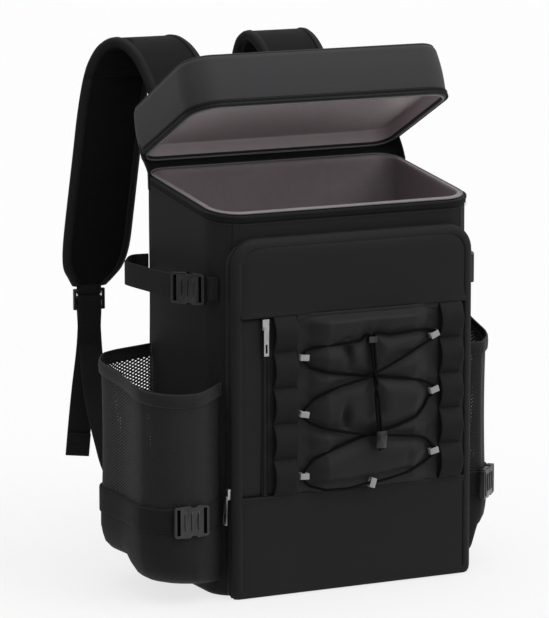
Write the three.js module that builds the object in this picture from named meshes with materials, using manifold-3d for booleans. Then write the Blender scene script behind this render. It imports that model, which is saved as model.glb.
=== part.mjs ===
// A soft-sided cooler backpack standing open: an insulated tub with a deep tray lid hinged at the
// back, a zipped front pocket laced with stretch cord, mesh side pockets, side straps with
// buckles and padded shoulder straps. Millimetres. X is to the right seen from the front, the
// front faces -Y, Z is up, and the origin is the middle of the flat base.
import * as THREE from 'three';
import { mergeVertices } from 'three/addons/utils/BufferGeometryUtils.js';
import Module from 'manifold-3d';

const wasm = await Module();
wasm.setup();

// Room between pieces that touch.
const gap = 0.3;

// Tub
const bodyWidth = 322;
const bodyDepth = 204;
const bodyFront = -bodyDepth / 2;
const bodyBack = bodyDepth / 2;
const rimFront = 428;
const rimBack = rimFront + 26;
const bodyFrontRadius = 36;
const bodyBackRadius = 28;
const bodyWall = 8;
const baseRound = 6;
const sideSwell = 5;
const liningWall = 1.5;
const rimFold = 2.5;
const rimTape = 12;
const tapeWall = 1.2;
const rimEase = 1;

// Lid, a tray tipped back about its rear edge
const lidWidth = bodyWidth + 2;
const lidDepth = bodyDepth - 20;
const lidFrontHeight = 62;
const lidBackHeight = lidFrontHeight - 4;
const lidOpening = 26;
const lidFrontRadius = 32;
const lidBackRadius = 26;
const lidWall = 7;
const lidTop = 8;
const lidRound = 9;
const lidRecess = 16;
const lidPanelWall = 8;
const lidSetBack = 12;
const lidRise = 9;
const hingeOverlap = 16;
const hingeWall = 1.6;

// Front pocket
const pocketWidth = bodyWidth - 26;
const pocketTop = rimFront - 27;
const pocketReach = 15;
const pocketFace = bodyFront - pocketReach;
const pocketTopRadius = 28;
const pocketBottomRadius = 8;
const pocketShoulder = 7;
const gussetWall = 2.5;
const panelWall = 2.5;
const baseSeam = pocketTop * 0.284;
const upperSeam = pocketTop * 0.793;
const seamRoom = 1;
const pocketZipWidth = 6.5;
const pouchZipWidth = 8;

// Webbing ladders, stretch panel and lacing
const leftLadderX = -pocketWidth * 0.297;
const rightLadderX = pocketWidth * 0.402;
const ladderWidth = 28;
const pouchZipX = leftLadderX - ladderWidth / 2 - 10;
const ladderLoops = 5;
const ladderBulge = 7.5;
const webbingWall = 1.8;
const stretchBulge = 9;
const stretchWall = 1.6;
const stretchTop = upperSeam - 18;
const stretchBorder = 14;
const stretchSlope = 20;
const stretchLeft = leftLadderX + ladderWidth / 2 + seamRoom;
const stretchRight = rightLadderX - ladderWidth / 2 - seamRoom;
const cordRadius = 1.5;
const keeperWidth = 11;
const keeperHeight = 7;
const keeperDepth = 7;
const keeperRim = 1.2;
const cordLevel = 2 * (cordRadius + gap);
const cordSides = 8;
const strandOffset = cordRadius + gap;
const cordLead = 1;
const strandLead = 3;
const lockRadius = 7;
const lockDepth = 10;
const lockHeight = 19;
const lockRoom = 0.6;

// Side pockets
const lobeRadius = 43;
const lobeFrontY = bodyFront + 26;
const lobeBackY = bodyBack - 90;
const sidePocketBottom = 22;
const sidePocketHemFront = rimFront * 0.556;
const sidePocketHemBack = sidePocketHemFront + 21;
const sidePocketBack = bodyBack - 30;
const sidePocketFront = bodyFront + 13;
const footTop = baseSeam - 2;
const meshWall = 1.8;
const meshSeat = 0.6;
const hemHeight = 13;
const hemWall = 1.4;
const leftPocketFill = 1;
const rightPocketFill = 0.42;

// Side straps and buckles
const sideStrapWidth = 27;
const upperStrapZ = rimFront * 0.811;
const lowerStrapZ = footTop - sideStrapWidth / 2 - 0.5;
const buckleLength = 42;
const buckleWidth = 36;
const buckleThickness = 7;
const buckleLap = 6;
const buckleSlot = 4;
const buckleRim = 5;
const buckleClear = 2;
const leftStrapOut = 36;
const rightStrapOut = 6;

// Back panel and shoulder straps
const backPanelWidth = bodyWidth - 72;
const backPanelLow = 74;
const backPanelHigh = rimBack - 30;
const backPanelWall = 8;
const padWidth = 80;
const padWall = 12;
const padEndZ = rimBack - 153;
const padCrestZ = rimBack + 130;
const padReach = 122;
const padAnchorX = 80;
const leftPadLean = 88;
const rightPadLean = -32;
const padTwist = 8.5;
const strapWebbingWidth = 28;
const tailEndZ = 102;
const tailLean = 13;
const lowerAnchorX = backPanelWidth / 2 + 3;
const lowerAnchorZ = 46;
const webbingBow = 34;
const frameWidth = 38;
const frameWall = 4;
const frameBar = 4;
const frameSlot = 6.5;
const frameSlack = 2.5;
const frameClear = 2;
const padLoopWall = 1.5;

// Zip sliders
const sliderLength = 12;
const sliderWidth = 8;
const sliderWall = 3.5;
const pullLength = 33;
const pullWidth = 6;
const pullWall = 1.6;
const pullLap = 4;
const pullBite = 0.2;

const cornerSteps = 5;
const sideSteps = 3;

// Tub wall up the height: how much of the side swell each level has.
const bodySections = [
  { height: 0.1, swell: 0.4 },
  { height: 0.3, swell: 0.9 },
  { height: 0.6, swell: 1 },
  { height: 0.8, swell: 0.6 },
  { height: 0.94, swell: 0 },
  { height: 1, swell: 0 },
];

// Side pocket up its height: how far each level stands out of its full outline.
const footSections = [
  { height: 0, out: 0.01 },
  { height: 0, out: 0.5 },
  { height: 0.05, out: 0.76 },
  { height: 0.2, out: 0.94 },
  { height: 0.45, out: 1 },
  { height: 1, out: 1 },
];

// Where the side pocket's columns stand on its two lobes, in degrees from straight out.
const lobeBackAngles = [65, 43, 22, 0];
const lobeFrontAngles = [0, -22, -45, -68, -90, -112];
const buckleAngle = -90;

// Upper side strap from the back corner to the front seam: depth is the share from the front of
// the tub to its back, out the share of the distance that the strap stands off.
const upperStrapPath = [
  { depth: 0.94, out: 0 },
  { depth: 0.91, out: 0.5 },
  { depth: 0.81, out: 0.92 },
  { depth: 0.706, out: 1 },
  { depth: 0.255, out: 0.7 },
  { depth: 0.1, out: 0.2 },
  { depth: 0.065, out: 0 },
];

// Half outline of a fastened buckle, along its length and across, as shares of its half sizes.
const buckleOutline = [
  { along: -1, width: 0.84 },
  { along: -0.92, width: 0.96 },
  { along: -0.1, width: 1 },
  { along: 0, width: 0.88 },
  { along: 0.22, width: 0.88 },
  { along: 0.34, width: 1 },
  { along: 0.92, width: 0.94 },
  { along: 1, width: 0.84 },
];

// Gathers of the stretch panel from its left edge to its right: share of the full bulge.
const stretchGathers = [0, 0, 0.55, 0.9, 1, 0.8, 0.95, 0.78, 0.98, 0.84, 1, 0.9, 0.55, 0, 0];

// Rows of the stretch panel from the base seam to its free top edge.
const stretchRows = [
  { height: 0, bulge: 0 },
  { height: 0.04, bulge: 0.45 },
  { height: 0.12, bulge: 0.85 },
  { height: 0.25, bulge: 1 },
  { height: 0.38, bulge: 0.86 },
  { height: 0.55, bulge: 1 },
  { height: 0.7, bulge: 0.86 },
  { height: 0.84, bulge: 0.95 },
  { height: 0.95, bulge: 0.85 },
  { height: 1, bulge: 0.74 },
];

// Cord keepers and cord lock: share across the stretch panel and share of its height.
const keeperRows = [
  { name: 'keeper_left_1', across: 0.04, up: 0.833 },
  { name: 'keeper_left_2', across: 0.04, up: 0.489 },
  { name: 'keeper_left_3', across: 0.04, up: 0.113 },
  { name: 'keeper_right_1', across: 0.96, up: 0.903 },
  { name: 'keeper_right_2', across: 0.96, up: 0.565 },
  { name: 'keeper_right_3', across: 0.96, up: 0.188 },
  { name: 'keeper_top', across: 0.497, up: 0.914 },
  { name: 'keeper_bottom', across: 0.503, up: 0.038 },
  { name: 'cord_lock', across: 0.537, up: 0.312 },
];

// Shoulder strap from the back panel over its crest to the end of the pad: reach away from the
// back, height between the pad's end and the crest, sideways lean, and share of the pad width.
const padSections = [
  { reach: 0, height: 0.332, lean: 0, width: 1 },
  { reach: 0, height: 0.43, lean: 0, width: 1 },
  { reach: 0.09, height: 0.572, lean: 0.01, width: 1 },
  { reach: 0.275, height: 0.774, lean: 0.045, width: 1 },
  { reach: 0.438, height: 0.901, lean: 0.114, width: 1 },
  { reach: 0.577, height: 0.972, lean: 0.205, width: 1 },
  { reach: 0.716, height: 1, lean: 0.318, width: 1 },
  { reach: 0.823, height: 0.979, lean: 0.443, width: 1 },
  { reach: 0.881, height: 0.922, lean: 0.545, width: 1 },
  { reach: 0.914, height: 0.845, lean: 0.614, width: 1 },
  { reach: 0.963, height: 0.703, lean: 0.67, width: 1 },
  { reach: 0.98, height: 0.544, lean: 0.727, width: 1 },
  { reach: 1, height: 0.3, lean: 0.82, width: 0.98 },
  { reach: 1, height: 0.16, lean: 0.88, width: 0.92 },
  { reach: 0.995, height: 0.08, lean: 0.93, width: 0.72 },
  { reach: 0.99, height: 0.035, lean: 0.965, width: 0.5 },
  { reach: 0.985, height: 0, lean: 1, width: 0.44 },
];

// Cross-section of the pad: share of its half width and of its thickness.
const padProfile = [
  { across: 1, through: 0 },
  { across: 0.92, through: 0.5 },
  { across: -0.92, through: 0.5 },
  { across: -1, through: 0 },
  { across: -0.92, through: -0.5 },
  { across: 0.92, through: -0.5 },
];

// Webbing from its foot on the tub up to the ladder lock: shares of the way back and up, and of
// its bow to the side.
const lowerWebbingPath = [
  { bow: 0.2, behind: 0, height: 0.045 },
  { bow: 0.6, behind: 0.05, height: 0.08 },
  { bow: 0.87, behind: 0.14, height: 0.13 },
  { bow: 1, behind: 0.34, height: 0.243 },
  { bow: 0.8, behind: 0.525, height: 0.378 },
  { bow: 0.46, behind: 0.76, height: 0.58 },
  { bow: 0.14, behind: 0.927, height: 0.806 },
];

const fabric = new THREE.MeshStandardMaterial({ color: 0x29292c, roughness: 0.85 });
const lidFabric = new THREE.MeshStandardMaterial({ color: 0x3c3c3f, roughness: 0.8 });
const lining = new THREE.MeshStandardMaterial({ color: 0x6e6668, roughness: 0.55 });
const piping = new THREE.MeshStandardMaterial({ color: 0xa8a8a8, roughness: 0.6 });
const tape = new THREE.MeshStandardMaterial({ color: 0x151516, roughness: 0.7 });
const webbing = new THREE.MeshStandardMaterial({ color: 0x202022, roughness: 0.8 });
const mesh = new THREE.MeshStandardMaterial({ color: 0x121213, roughness: 0.95 });
const plastic = new THREE.MeshStandardMaterial({ color: 0x18181a, roughness: 0.35 });
const keeperPlastic = new THREE.MeshStandardMaterial({ color: 0x9a9a9a, roughness: 0.5 });
const metal = new THREE.MeshStandardMaterial({ color: 0xc8c8ca, roughness: 0.3, metalness: 0.9 });

const pack = new THREE.Group();

function addPart(name, geometry, material, parent = pack) {
  const part = new THREE.Mesh(geometry, material);
  part.name = name;
  parent.add(part);
  return part;
}

// Closed geometry from vertices and faces, turned so that the faces point out.
function solid(vertices, faces) {
  const volume = faces.reduce((sum, [a, b, c]) => {
    const normal = new THREE.Vector3().crossVectors(vertices[b], vertices[c]);
    return sum + vertices[a].dot(normal);
  }, 0);
  const geometry = new THREE.BufferGeometry();
  geometry.setAttribute('position', new THREE.Float32BufferAttribute(vertices.flatMap((v) => v.toArray()), 3));
  geometry.setIndex(faces.flatMap((face) => (volume > 0 ? face : [face[0], face[2], face[1]])));
  geometry.computeVertexNormals();
  return geometry;
}

function quad(faces, a, b, c, d) {
  faces.push([a, b, c], [a, c, d]);
}

// Skin over rings of points: capped at both ends, or joined last to first when looped. Each quad
// is split the same way whether the rings run up or down, so nested walls stay parallel.
function loft(rings, looped = false) {
  const size = rings[0].length;
  const vertices = rings.flat();
  const faces = [];
  const last = looped ? rings.length : rings.length - 1;
  for (let row = 0; row < last; row += 1) {
    const next = ((row + 1) % rings.length) * size;
    for (let i = 0; i < size; i += 1) {
      const j = (i + 1) % size;
      const rising = vertices[next + i].z >= vertices[row * size + i].z;
      if (rising) {
        quad(faces, row * size + i, row * size + j, next + j, next + i);
      } else {
        quad(faces, next + i, row * size + i, row * size + j, next + j);
      }
    }
  }
  if (!looped) {
    [0, rings.length - 1].forEach((row) => {
      const middle = rings[row].reduce((sum, v) => sum.add(v), new THREE.Vector3()).divideScalar(size);
      const centre = vertices.push(middle) - 1;
      for (let i = 0; i < size; i += 1) {
        const a = row * size + i;
        const b = row * size + (i + 1) % size;
        faces.push(row === 0 ? [centre, b, a] : [centre, a, b]);
      }
    });
  }
  return solid(vertices, faces);
}

// Solid between two grids of points that lie over each other.
function slab(outer, inner) {
  const rows = outer.length;
  const columns = outer[0].length;
  const vertices = [...outer.flat(), ...inner.flat()];
  const faces = [];
  const front = (row, column) => row * columns + column;
  const back = (row, column) => rows * columns + front(row, column);
  for (let row = 0; row < rows - 1; row += 1) {
    for (let column = 0; column < columns - 1; column += 1) {
      quad(faces, front(row, column), front(row, column + 1), front(row + 1, column + 1), front(row + 1, column));
      quad(faces, back(row, column), back(row + 1, column), back(row + 1, column + 1), back(row, column + 1));
    }
    quad(faces, front(row, 0), front(row + 1, 0), back(row + 1, 0), back(row, 0));
    const end = columns - 1;
    quad(faces, front(row, end), back(row, end), back(row + 1, end), front(row + 1, end));
  }
  for (let column = 0; column < columns - 1; column += 1) {
    quad(faces, front(0, column), back(0, column), back(0, column + 1), front(0, column + 1));
    const end = rows - 1;
    quad(faces, front(end, column), front(end, column + 1), back(end, column + 1), back(end, column));
  }
  return solid(vertices, faces);
}

// The grid moved along its own normals; positive is to the left of a row as it runs, rows going up.
function offsetGrid(grid, distance) {
  const pick = (list, i) => list[Math.min(Math.max(i, 0), list.length - 1)];
  return grid.map((row, r) => row.map((point, c) => {
    const along = new THREE.Vector3().subVectors(pick(row, c + 1), pick(row, c - 1));
    const up = new THREE.Vector3().subVectors(pick(grid, r + 1)[c], pick(grid, r - 1)[c]);
    const normal = new THREE.Vector3().crossVectors(up, along).normalize();
    return point.clone().addScaledVector(normal, distance);
  }));
}

// Flat band along a path: half its width to each side along `across`.
function bandGrid(path, across, width) {
  const side = (sign) => path.map((point, i) => {
    const direction = Array.isArray(across) ? across[i] : across;
    return point.clone().addScaledVector(direction, sign * width / 2);
  });
  return [side(-1), side(1)];
}

function toManifold(geometry) {
  const bare = geometry.clone();
  bare.deleteAttribute('normal');
  bare.deleteAttribute('uv');
  const merged = mergeVertices(bare, 1e-4);
  return new wasm.Manifold(new wasm.Mesh({
    numProp: 3,
    vertProperties: new Float32Array(merged.attributes.position.array),
    triVerts: new Uint32Array(merged.index.array),
  }));
}

function fromManifold(shape) {
  const result = shape.getMesh();
  const geometry = new THREE.BufferGeometry();
  geometry.setAttribute('position', new THREE.BufferAttribute(result.vertProperties, 3));
  geometry.setIndex(new THREE.BufferAttribute(result.triVerts, 1));
  geometry.computeVertexNormals();
  return geometry;
}

function boxAt(width, depth, height, x = 0, y = 0, z = 0) {
  return new THREE.BoxGeometry(width, depth, height).translate(x, y, z);
}

// Rounded outline in plan as points with outward normals. It starts at the back of the back left
// corner and runs down the left side, along the front and up the right side.
function roundedPlan({ width, front, back, frontRadius, backRadius, swell = 0 }) {
  const half = width / 2;
  const outline = [];
  const corner = (x, y, radius, start) => {
    for (let i = 0; i <= cornerSteps; i += 1) {
      const angle = THREE.MathUtils.degToRad(start + 90 * i / cornerSteps);
      const nx = Math.cos(angle);
      const ny = Math.sin(angle);
      outline.push({ x: x + radius * nx, y: y + radius * ny, nx, ny });
    }
  };
  const side = (sign, from, to) => {
    for (let i = 1; i <= sideSteps; i += 1) {
      const share = i / (sideSteps + 1);
      const x = sign * (half + swell * Math.sin(Math.PI * share));
      outline.push({ x, y: from + (to - from) * share, nx: sign, ny: 0 });
    }
  };
  corner(-half + backRadius, back - backRadius, backRadius, 90);
  side(-1, back - backRadius, front + frontRadius);
  corner(-half + frontRadius, front + frontRadius, frontRadius, 180);
  corner(half - frontRadius, front + frontRadius, frontRadius, 270);
  side(1, front + frontRadius, back - backRadius);
  corner(half - backRadius, back - backRadius, backRadius, 0);
  return outline;
}

// The part of such an outline that carries the zip, and the rest that the hinge cloth covers.
function zipStretch(outline) {
  return outline.slice(cornerSteps + 1, outline.length - cornerSteps - 1);
}

function hingeStretch(outline) {
  return [...outline.slice(outline.length - cornerSteps - 1), ...outline.slice(0, cornerSteps + 1)];
}

function ring(outline, inset, height) {
  return outline.map(({ x, y, nx, ny }) => {
    const z = typeof height === 'function' ? height(y) : height;
    return new THREE.Vector3(x - nx * inset, y - ny * inset, z);
  });
}

// Tub
function rimHeight(y) {
  return rimFront + (rimBack - rimFront) * (y - bodyFront) / bodyDepth;
}

function bodyPlan(swell) {
  return roundedPlan({
    width: bodyWidth,
    front: bodyFront,
    back: bodyBack,
    frontRadius: bodyFrontRadius,
    backRadius: bodyBackRadius,
    swell: swell * sideSwell,
  });
}

// Point and normal on the outside of the tub's side wall (side -1 left, 1 right) at a given y.
function bodySide(side, y, distance = 0) {
  const half = bodyWidth / 2;
  const frontCentre = bodyFront + bodyFrontRadius;
  const backCentre = bodyBack - bodyBackRadius;
  let x = half + distance + sideSwell * Math.sin(Math.PI * (backCentre - y) / (backCentre - frontCentre));
  let edge = y;
  if (y < frontCentre) {
    const sine = Math.min((frontCentre - y) / bodyFrontRadius, 1);
    x = half - bodyFrontRadius + (bodyFrontRadius + distance) * Math.sqrt(1 - sine * sine);
    edge = frontCentre - (bodyFrontRadius + distance) * sine;
  } else if (y > backCentre) {
    const sine = Math.min((y - backCentre) / bodyBackRadius, 1);
    x = half - bodyBackRadius + (bodyBackRadius + distance) * Math.sqrt(1 - sine * sine);
    edge = backCentre + (bodyBackRadius + distance) * sine;
  }
  return new THREE.Vector3(side * x, edge, 0);
}

function bodyFrontSurface(x) {
  const beyond = Math.max(Math.abs(x) - (bodyWidth / 2 - bodyFrontRadius), 0);
  return bodyFront + bodyFrontRadius - Math.sqrt(bodyFrontRadius ** 2 - beyond ** 2);
}

function buildTub() {
  const wallRings = (inset, lift) => bodySections.map(({ height, swell }) => (
    ring(bodyPlan(swell), inset, (y) => rimHeight(y) * height + (height === 1 ? lift : 0))
  ));
  const outer = [
    ring(bodyPlan(0), baseRound, 0),
    ring(bodyPlan(0), baseRound * 0.3, baseRound * 0.3),
    ring(bodyPlan(0), 0, baseRound),
    ...wallRings(0, 0),
  ];
  const inner = [ring(bodyPlan(0), bodyWall, bodyWall), ...wallRings(bodyWall, 0)];
  addPart('body_shell', loft([...outer, ...inner.reverse()]), fabric);

  const skinOut = bodyWall + gap;
  const skinIn = skinOut + liningWall;
  const rim = (lift) => (y) => rimHeight(y) + lift;
  const liningRings = [
    ring(bodyPlan(0), skinOut, bodyWall + gap),
    ...wallRings(skinOut, gap),
    ring(bodyPlan(0), 0, rim(gap)),
    ring(bodyPlan(0), 0, rim(rimFold * 0.7)),
    ring(bodyPlan(0), bodyWall * 0.3, rim(rimFold)),
    ring(bodyPlan(0), skinIn - rimEase, rim(rimFold)),
    ...wallRings(skinIn, 0).reverse(),
    ring(bodyPlan(0), skinIn, bodyWall + gap + liningWall),
  ];
  addPart('body_lining', loft(liningRings), lining);

  const edge = zipStretch(bodyPlan(0));
  const tapeGrid = (outset) => [
    ring(edge, -outset, rim(-rimTape)),
    ring(edge, -outset, rim(0)),
  ];
  addPart('rim_zip', slab(tapeGrid(gap + tapeWall), tapeGrid(gap)), tape);
}

// Lid, built level with its mouth down and its rear edge at the group's origin, then tipped back
const lid = new THREE.Group();
lid.position.set(0, bodyBack + lidSetBack, rimBack + lidRise);
lid.rotation.x = -THREE.MathUtils.degToRad(lidOpening);
pack.add(lid);

const lidPlan = roundedPlan({
  width: lidWidth,
  front: -lidDepth,
  back: 0,
  frontRadius: lidFrontRadius,
  backRadius: lidBackRadius,
});

function lidHeight(y) {
  return lidBackHeight + (lidFrontHeight - lidBackHeight) * -y / lidDepth;
}

function buildLid() {
  const below = (drop) => (y) => lidHeight(y) - drop;
  addPart('lid_shell', loft([
    ring(lidPlan, lidWall, below(lidTop)),
    ring(lidPlan, lidWall, 0),
    ring(lidPlan, 0, 0),
    ring(lidPlan, 0, below(lidRound)),
    ring(lidPlan, lidRound * 0.3, below(lidRound * 0.3)),
    ring(lidPlan, lidRound, below(0)),
  ]), lidFabric, lid);

  const panelInset = lidWall + gap;
  addPart('lid_panel', loft([
    ring(lidPlan, panelInset, lidRecess + lidPanelWall),
    ring(lidPlan, panelInset, lidRecess),
  ]), lining, lid);

  addPart('lid_piping', loft([
    ring(lidPlan, lidWall * 0.4, -gap),
    ring(lidPlan, lidWall * 0.4, -gap - rimFold * 0.4),
    ring(lidPlan, lidWall * 0.7, -gap - rimFold),
    ring(lidPlan, lidWall + gap, -gap - rimFold * 0.6),
    ring(lidPlan, lidWall + gap, -gap),
  ], true), piping, lid);

  const edge = zipStretch(lidPlan);
  const tapeGrid = (outset) => [ring(edge, -outset, 0), ring(edge, -outset, rimTape)];
  addPart('lid_zip', slab(tapeGrid(gap + tapeWall), tapeGrid(gap)), tape, lid);
}

// Cloth round the two back corners and across the back, from the tub up to the lid
function buildHinge() {
  lid.updateMatrixWorld(true);
  const tubEdge = hingeStretch(bodyPlan(0));
  const lidEdge = hingeStretch(lidPlan);
  const face = (outset) => [
    ring(tubEdge, -outset, (y) => rimHeight(y) - hingeOverlap),
    ring(tubEdge, -outset, (y) => rimHeight(y) + rimFold + gap),
    ...[0, hingeOverlap].map((height) => (
      ring(lidEdge, -outset, height).map((point) => point.applyMatrix4(lid.matrixWorld))
    )),
  ];
  addPart('lid_hinge', slab(face(gap + hingeWall), face(gap)), fabric);
}

// Front pocket: outline points across and up, with outward normals, from the left foot round the
// top to the right foot
function pocketCorners() {
  const half = pocketWidth / 2;
  const outline = [];
  const corner = (x, z, radius, start) => {
    for (let i = 0; i <= cornerSteps; i += 1) {
      const angle = THREE.MathUtils.degToRad(start - 90 * i / cornerSteps);
      const nx = Math.cos(angle);
      const nz = Math.sin(angle);
      outline.push({ x: x + radius * nx, z: z + radius * nz, nx, nz });
    }
  };
  corner(-half + pocketBottomRadius, pocketBottomRadius, pocketBottomRadius, 270);
  corner(-half + pocketTopRadius, pocketTop - pocketTopRadius, pocketTopRadius, 180);
  corner(half - pocketTopRadius, pocketTop - pocketTopRadius, pocketTopRadius, 90);
  corner(half - pocketBottomRadius, pocketBottomRadius, pocketBottomRadius, 0);
  return outline;
}

// The gusset's outline also has points along the foot, where it leaves the tub's rounded corners
function gussetOutline() {
  const flat = bodyWidth / 2 - bodyFrontRadius;
  const foot = pocketWidth / 2 - pocketBottomRadius;
  const along = [(foot + flat) / 2, flat, -flat, -(foot + flat) / 2];
  return [...pocketCorners(), ...along.map((x) => ({ x, z: 0, nx: 0, nz: -1 }))];
}

function buildPocketGusset() {
  const section = ({ x, z, nx, nz }) => {
    const at = (inset, y) => new THREE.Vector3(x - nx * inset, y, z - nz * inset);
    const back = (inset) => bodyFrontSurface(x - nx * inset) - gap;
    return [
      at(0, back(0)),
      at(0, pocketFace + pocketShoulder),
      at(pocketShoulder * 0.3, pocketFace + pocketShoulder * 0.3),
      at(pocketShoulder, pocketFace),
      at(pocketShoulder, pocketFace + gussetWall),
      at(gussetWall, pocketFace + pocketShoulder),
      at(gussetWall, back(gussetWall)),
    ];
  };
  addPart('pocket_gusset', loft(gussetOutline().map(section), true), fabric);
}

// The pocket's face between two heights, as one flat panel inside the gusset's rim
function buildPocketPanel(name, low, high) {
  const inset = pocketShoulder + gap;
  const inside = pocketCorners().map(({ x, z, nx, nz }) => ({ x: x - nx * inset, z: z - nz * inset }));
  const half = pocketWidth / 2 - inset;
  const points = inside.filter(({ z }) => z > low && z < high);
  const edge = (x, z) => (z > inset && z < pocketTop - inset ? [{ x, z }] : []);
  const left = points.filter(({ x }) => x < 0);
  const right = points.filter(({ x }) => x > 0);
  const outline = [...edge(-half, low), ...left, ...edge(-half, high), ...edge(half, high), ...right,
    ...edge(half, low)];
  const shape = new THREE.Shape(outline.map(({ x, z }) => new THREE.Vector2(x, z)));
  const geometry = new THREE.ExtrudeGeometry(shape, { depth: panelWall, bevelEnabled: false });
  geometry.rotateX(Math.PI / 2).translate(0, pocketFace + panelWall, 0);
  addPart(name, geometry, fabric);
}

function buildPocketZips() {
  const half = pocketWidth / 2;
  const crown = pocketCorners().filter(({ z }) => z > pocketTop - pocketTopRadius - 1);
  const path = [
    { x: -half, z: baseSeam, nx: -1, nz: 0 },
    ...crown,
    { x: half, z: baseSeam, nx: 1, nz: 0 },
  ];
  const low = pocketFace + pocketShoulder + gap;
  const grid = (outset) => [low, low + pocketZipWidth].map((y) => (
    path.map(({ x, z, nx, nz }) => new THREE.Vector3(x + nx * outset, y, z + nz * outset))
  ));
  addPart('pocket_zip', slab(grid(gap + tapeWall), grid(gap)), tape);

  const height = upperSeam - baseSeam;
  const y = pocketFace - gap - tapeWall / 2;
  const middle = (upperSeam + baseSeam) / 2;
  addPart('pouch_zip', boxAt(pouchZipWidth, tapeWall, height - 2 * seamRoom, pouchZipX, y, middle), tape);
}

// A slider with its hanging pull as one piece; its face looks along -Y and its top is at z = 0
function slider() {
  const body = toManifold(boxAt(sliderWidth, sliderWall, sliderLength, 0, -sliderWall / 2, -sliderLength / 2));
  const pullTop = -sliderLength + pullLap;
  const pull = toManifold(boxAt(pullWidth, pullWall, pullLength, 0, -sliderWall - pullWall / 2 + pullBite,
    pullTop - pullLength / 2));
  const hole = toManifold(boxAt(pullWidth * 0.4, sliderWall * 4, pullLength * 0.3, 0, -sliderWall,
    pullTop - pullLength * 0.75));
  return fromManifold(body.add(pull.subtract(hole)));
}

function buildSliders() {
  const pocketSlider = addPart('pocket_slider', slider(), metal);
  pocketSlider.rotation.z = -Math.PI / 2;
  pocketSlider.position.set(-pocketWidth / 2 - 2 * gap - tapeWall,
    pocketFace + pocketShoulder + pocketZipWidth / 2, baseSeam + sliderLength);

  const pouchSlider = addPart('pouch_slider', slider(), metal);
  pouchSlider.position.set(pouchZipX, pocketFace - 2 * gap - tapeWall, upperSeam - 3 * seamRoom);
}

// Webbing ladder: one strip tacked down between bulging loops
function buildLadder(name, x) {
  const stepsPerLoop = 6;
  const steps = ladderLoops * stepsPerLoop;
  const height = upperSeam - baseSeam - 2 * seamRoom;
  const front = pocketFace - gap - webbingWall;
  const path = Array.from({ length: steps + 1 }, (_, i) => {
    const share = Math.abs(Math.sin(Math.PI * i / stepsPerLoop));
    const bulge = ladderBulge * Math.min(1, share * 1.25);
    return new THREE.Vector3(x, front - bulge, baseSeam + seamRoom + height * i / steps);
  });
  const face = bandGrid(path, new THREE.Vector3(1, 0, 0), ladderWidth);
  const behind = face.map((row) => row.map((point) => point.clone().add(new THREE.Vector3(0, webbingWall, 0))));
  addPart(name, slab(face, behind), webbing);
}

// Stretch panel between the ladders: columns and rows from the two tables
function stretchColumnX(column) {
  const inner = stretchGathers.length - 3;
  if (column === 0) {
    return stretchLeft;
  }
  if (column === stretchGathers.length - 1) {
    return stretchRight;
  }
  const span = stretchRight - stretchLeft - 2 * stretchBorder;
  return stretchLeft + stretchBorder + span * (column - 1) / inner;
}

function stretchFront() {
  return pocketFace - gap - stretchWall;
}

function buildStretchPanel() {
  const height = stretchTop - baseSeam - seamRoom;
  const face = stretchRows.map(({ height: share, bulge }) => stretchGathers.map((gather, column) => (
    new THREE.Vector3(stretchColumnX(column), stretchFront() - stretchBulge * gather * bulge,
      baseSeam + seamRoom + height * share)
  )));
  const behind = face.map((row) => row.map((point) => point.clone().add(new THREE.Vector3(0, stretchWall, 0))));
  addPart('stretch_panel', slab(face, behind), mesh);
}

// Cord keeper: a short block with an upright hole for the cord
function keeper() {
  const block = toManifold(boxAt(keeperWidth, keeperDepth, keeperHeight));
  const hole = boxAt(keeperWidth - 2 * keeperRim, keeperDepth - 2 * keeperRim, keeperHeight * 2);
  return fromManifold(block.subtract(toManifold(hole)));
}

const cordFront = stretchFront() - stretchBulge - cordRadius - gap;
const keeperLevels = {
  keeper_top: stretchFront() - gap - keeperDepth / 2 - stretchBulge * 0.87,
  keeper_bottom: cordFront + 2 * gap,
  cord_lock: cordFront - cordLevel - cordRadius - gap - lockDepth / 2,
};
const [left1, left2, left3, right1, right2, right3, topKeeper, bottomKeeper, cordLock] = keeperRows
  .map(({ name, across, up }) => ({
    name,
    x: stretchLeft + (stretchRight - stretchLeft) * across,
    y: keeperLevels[name] ?? stretchFront() - gap - keeperDepth / 2,
    z: baseSeam + (stretchTop - baseSeam) * up,
  }));

function buildKeepers() {
  const place = ({ name, x, y, z }, material) => {
    const part = addPart(name, keeper(), material);
    part.position.set(x, y, z);
    return part;
  };
  [left1, left2, left3, right1, right2, right3].forEach((row) => place(row, keeperPlastic));
  place(topKeeper, plastic);
  place(bottomKeeper, keeperPlastic).rotation.y = Math.PI / 2;
}

// Side pockets. Everything at the sides is worked out with x pointing outwards from the middle,
// and `side` (-1 left, 1 right) turns it to its own side at the end.
function onSide(side, grid) {
  return grid.map((row) => row.map(({ x, y, z }) => new THREE.Vector3(side * x, y, z)));
}

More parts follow.
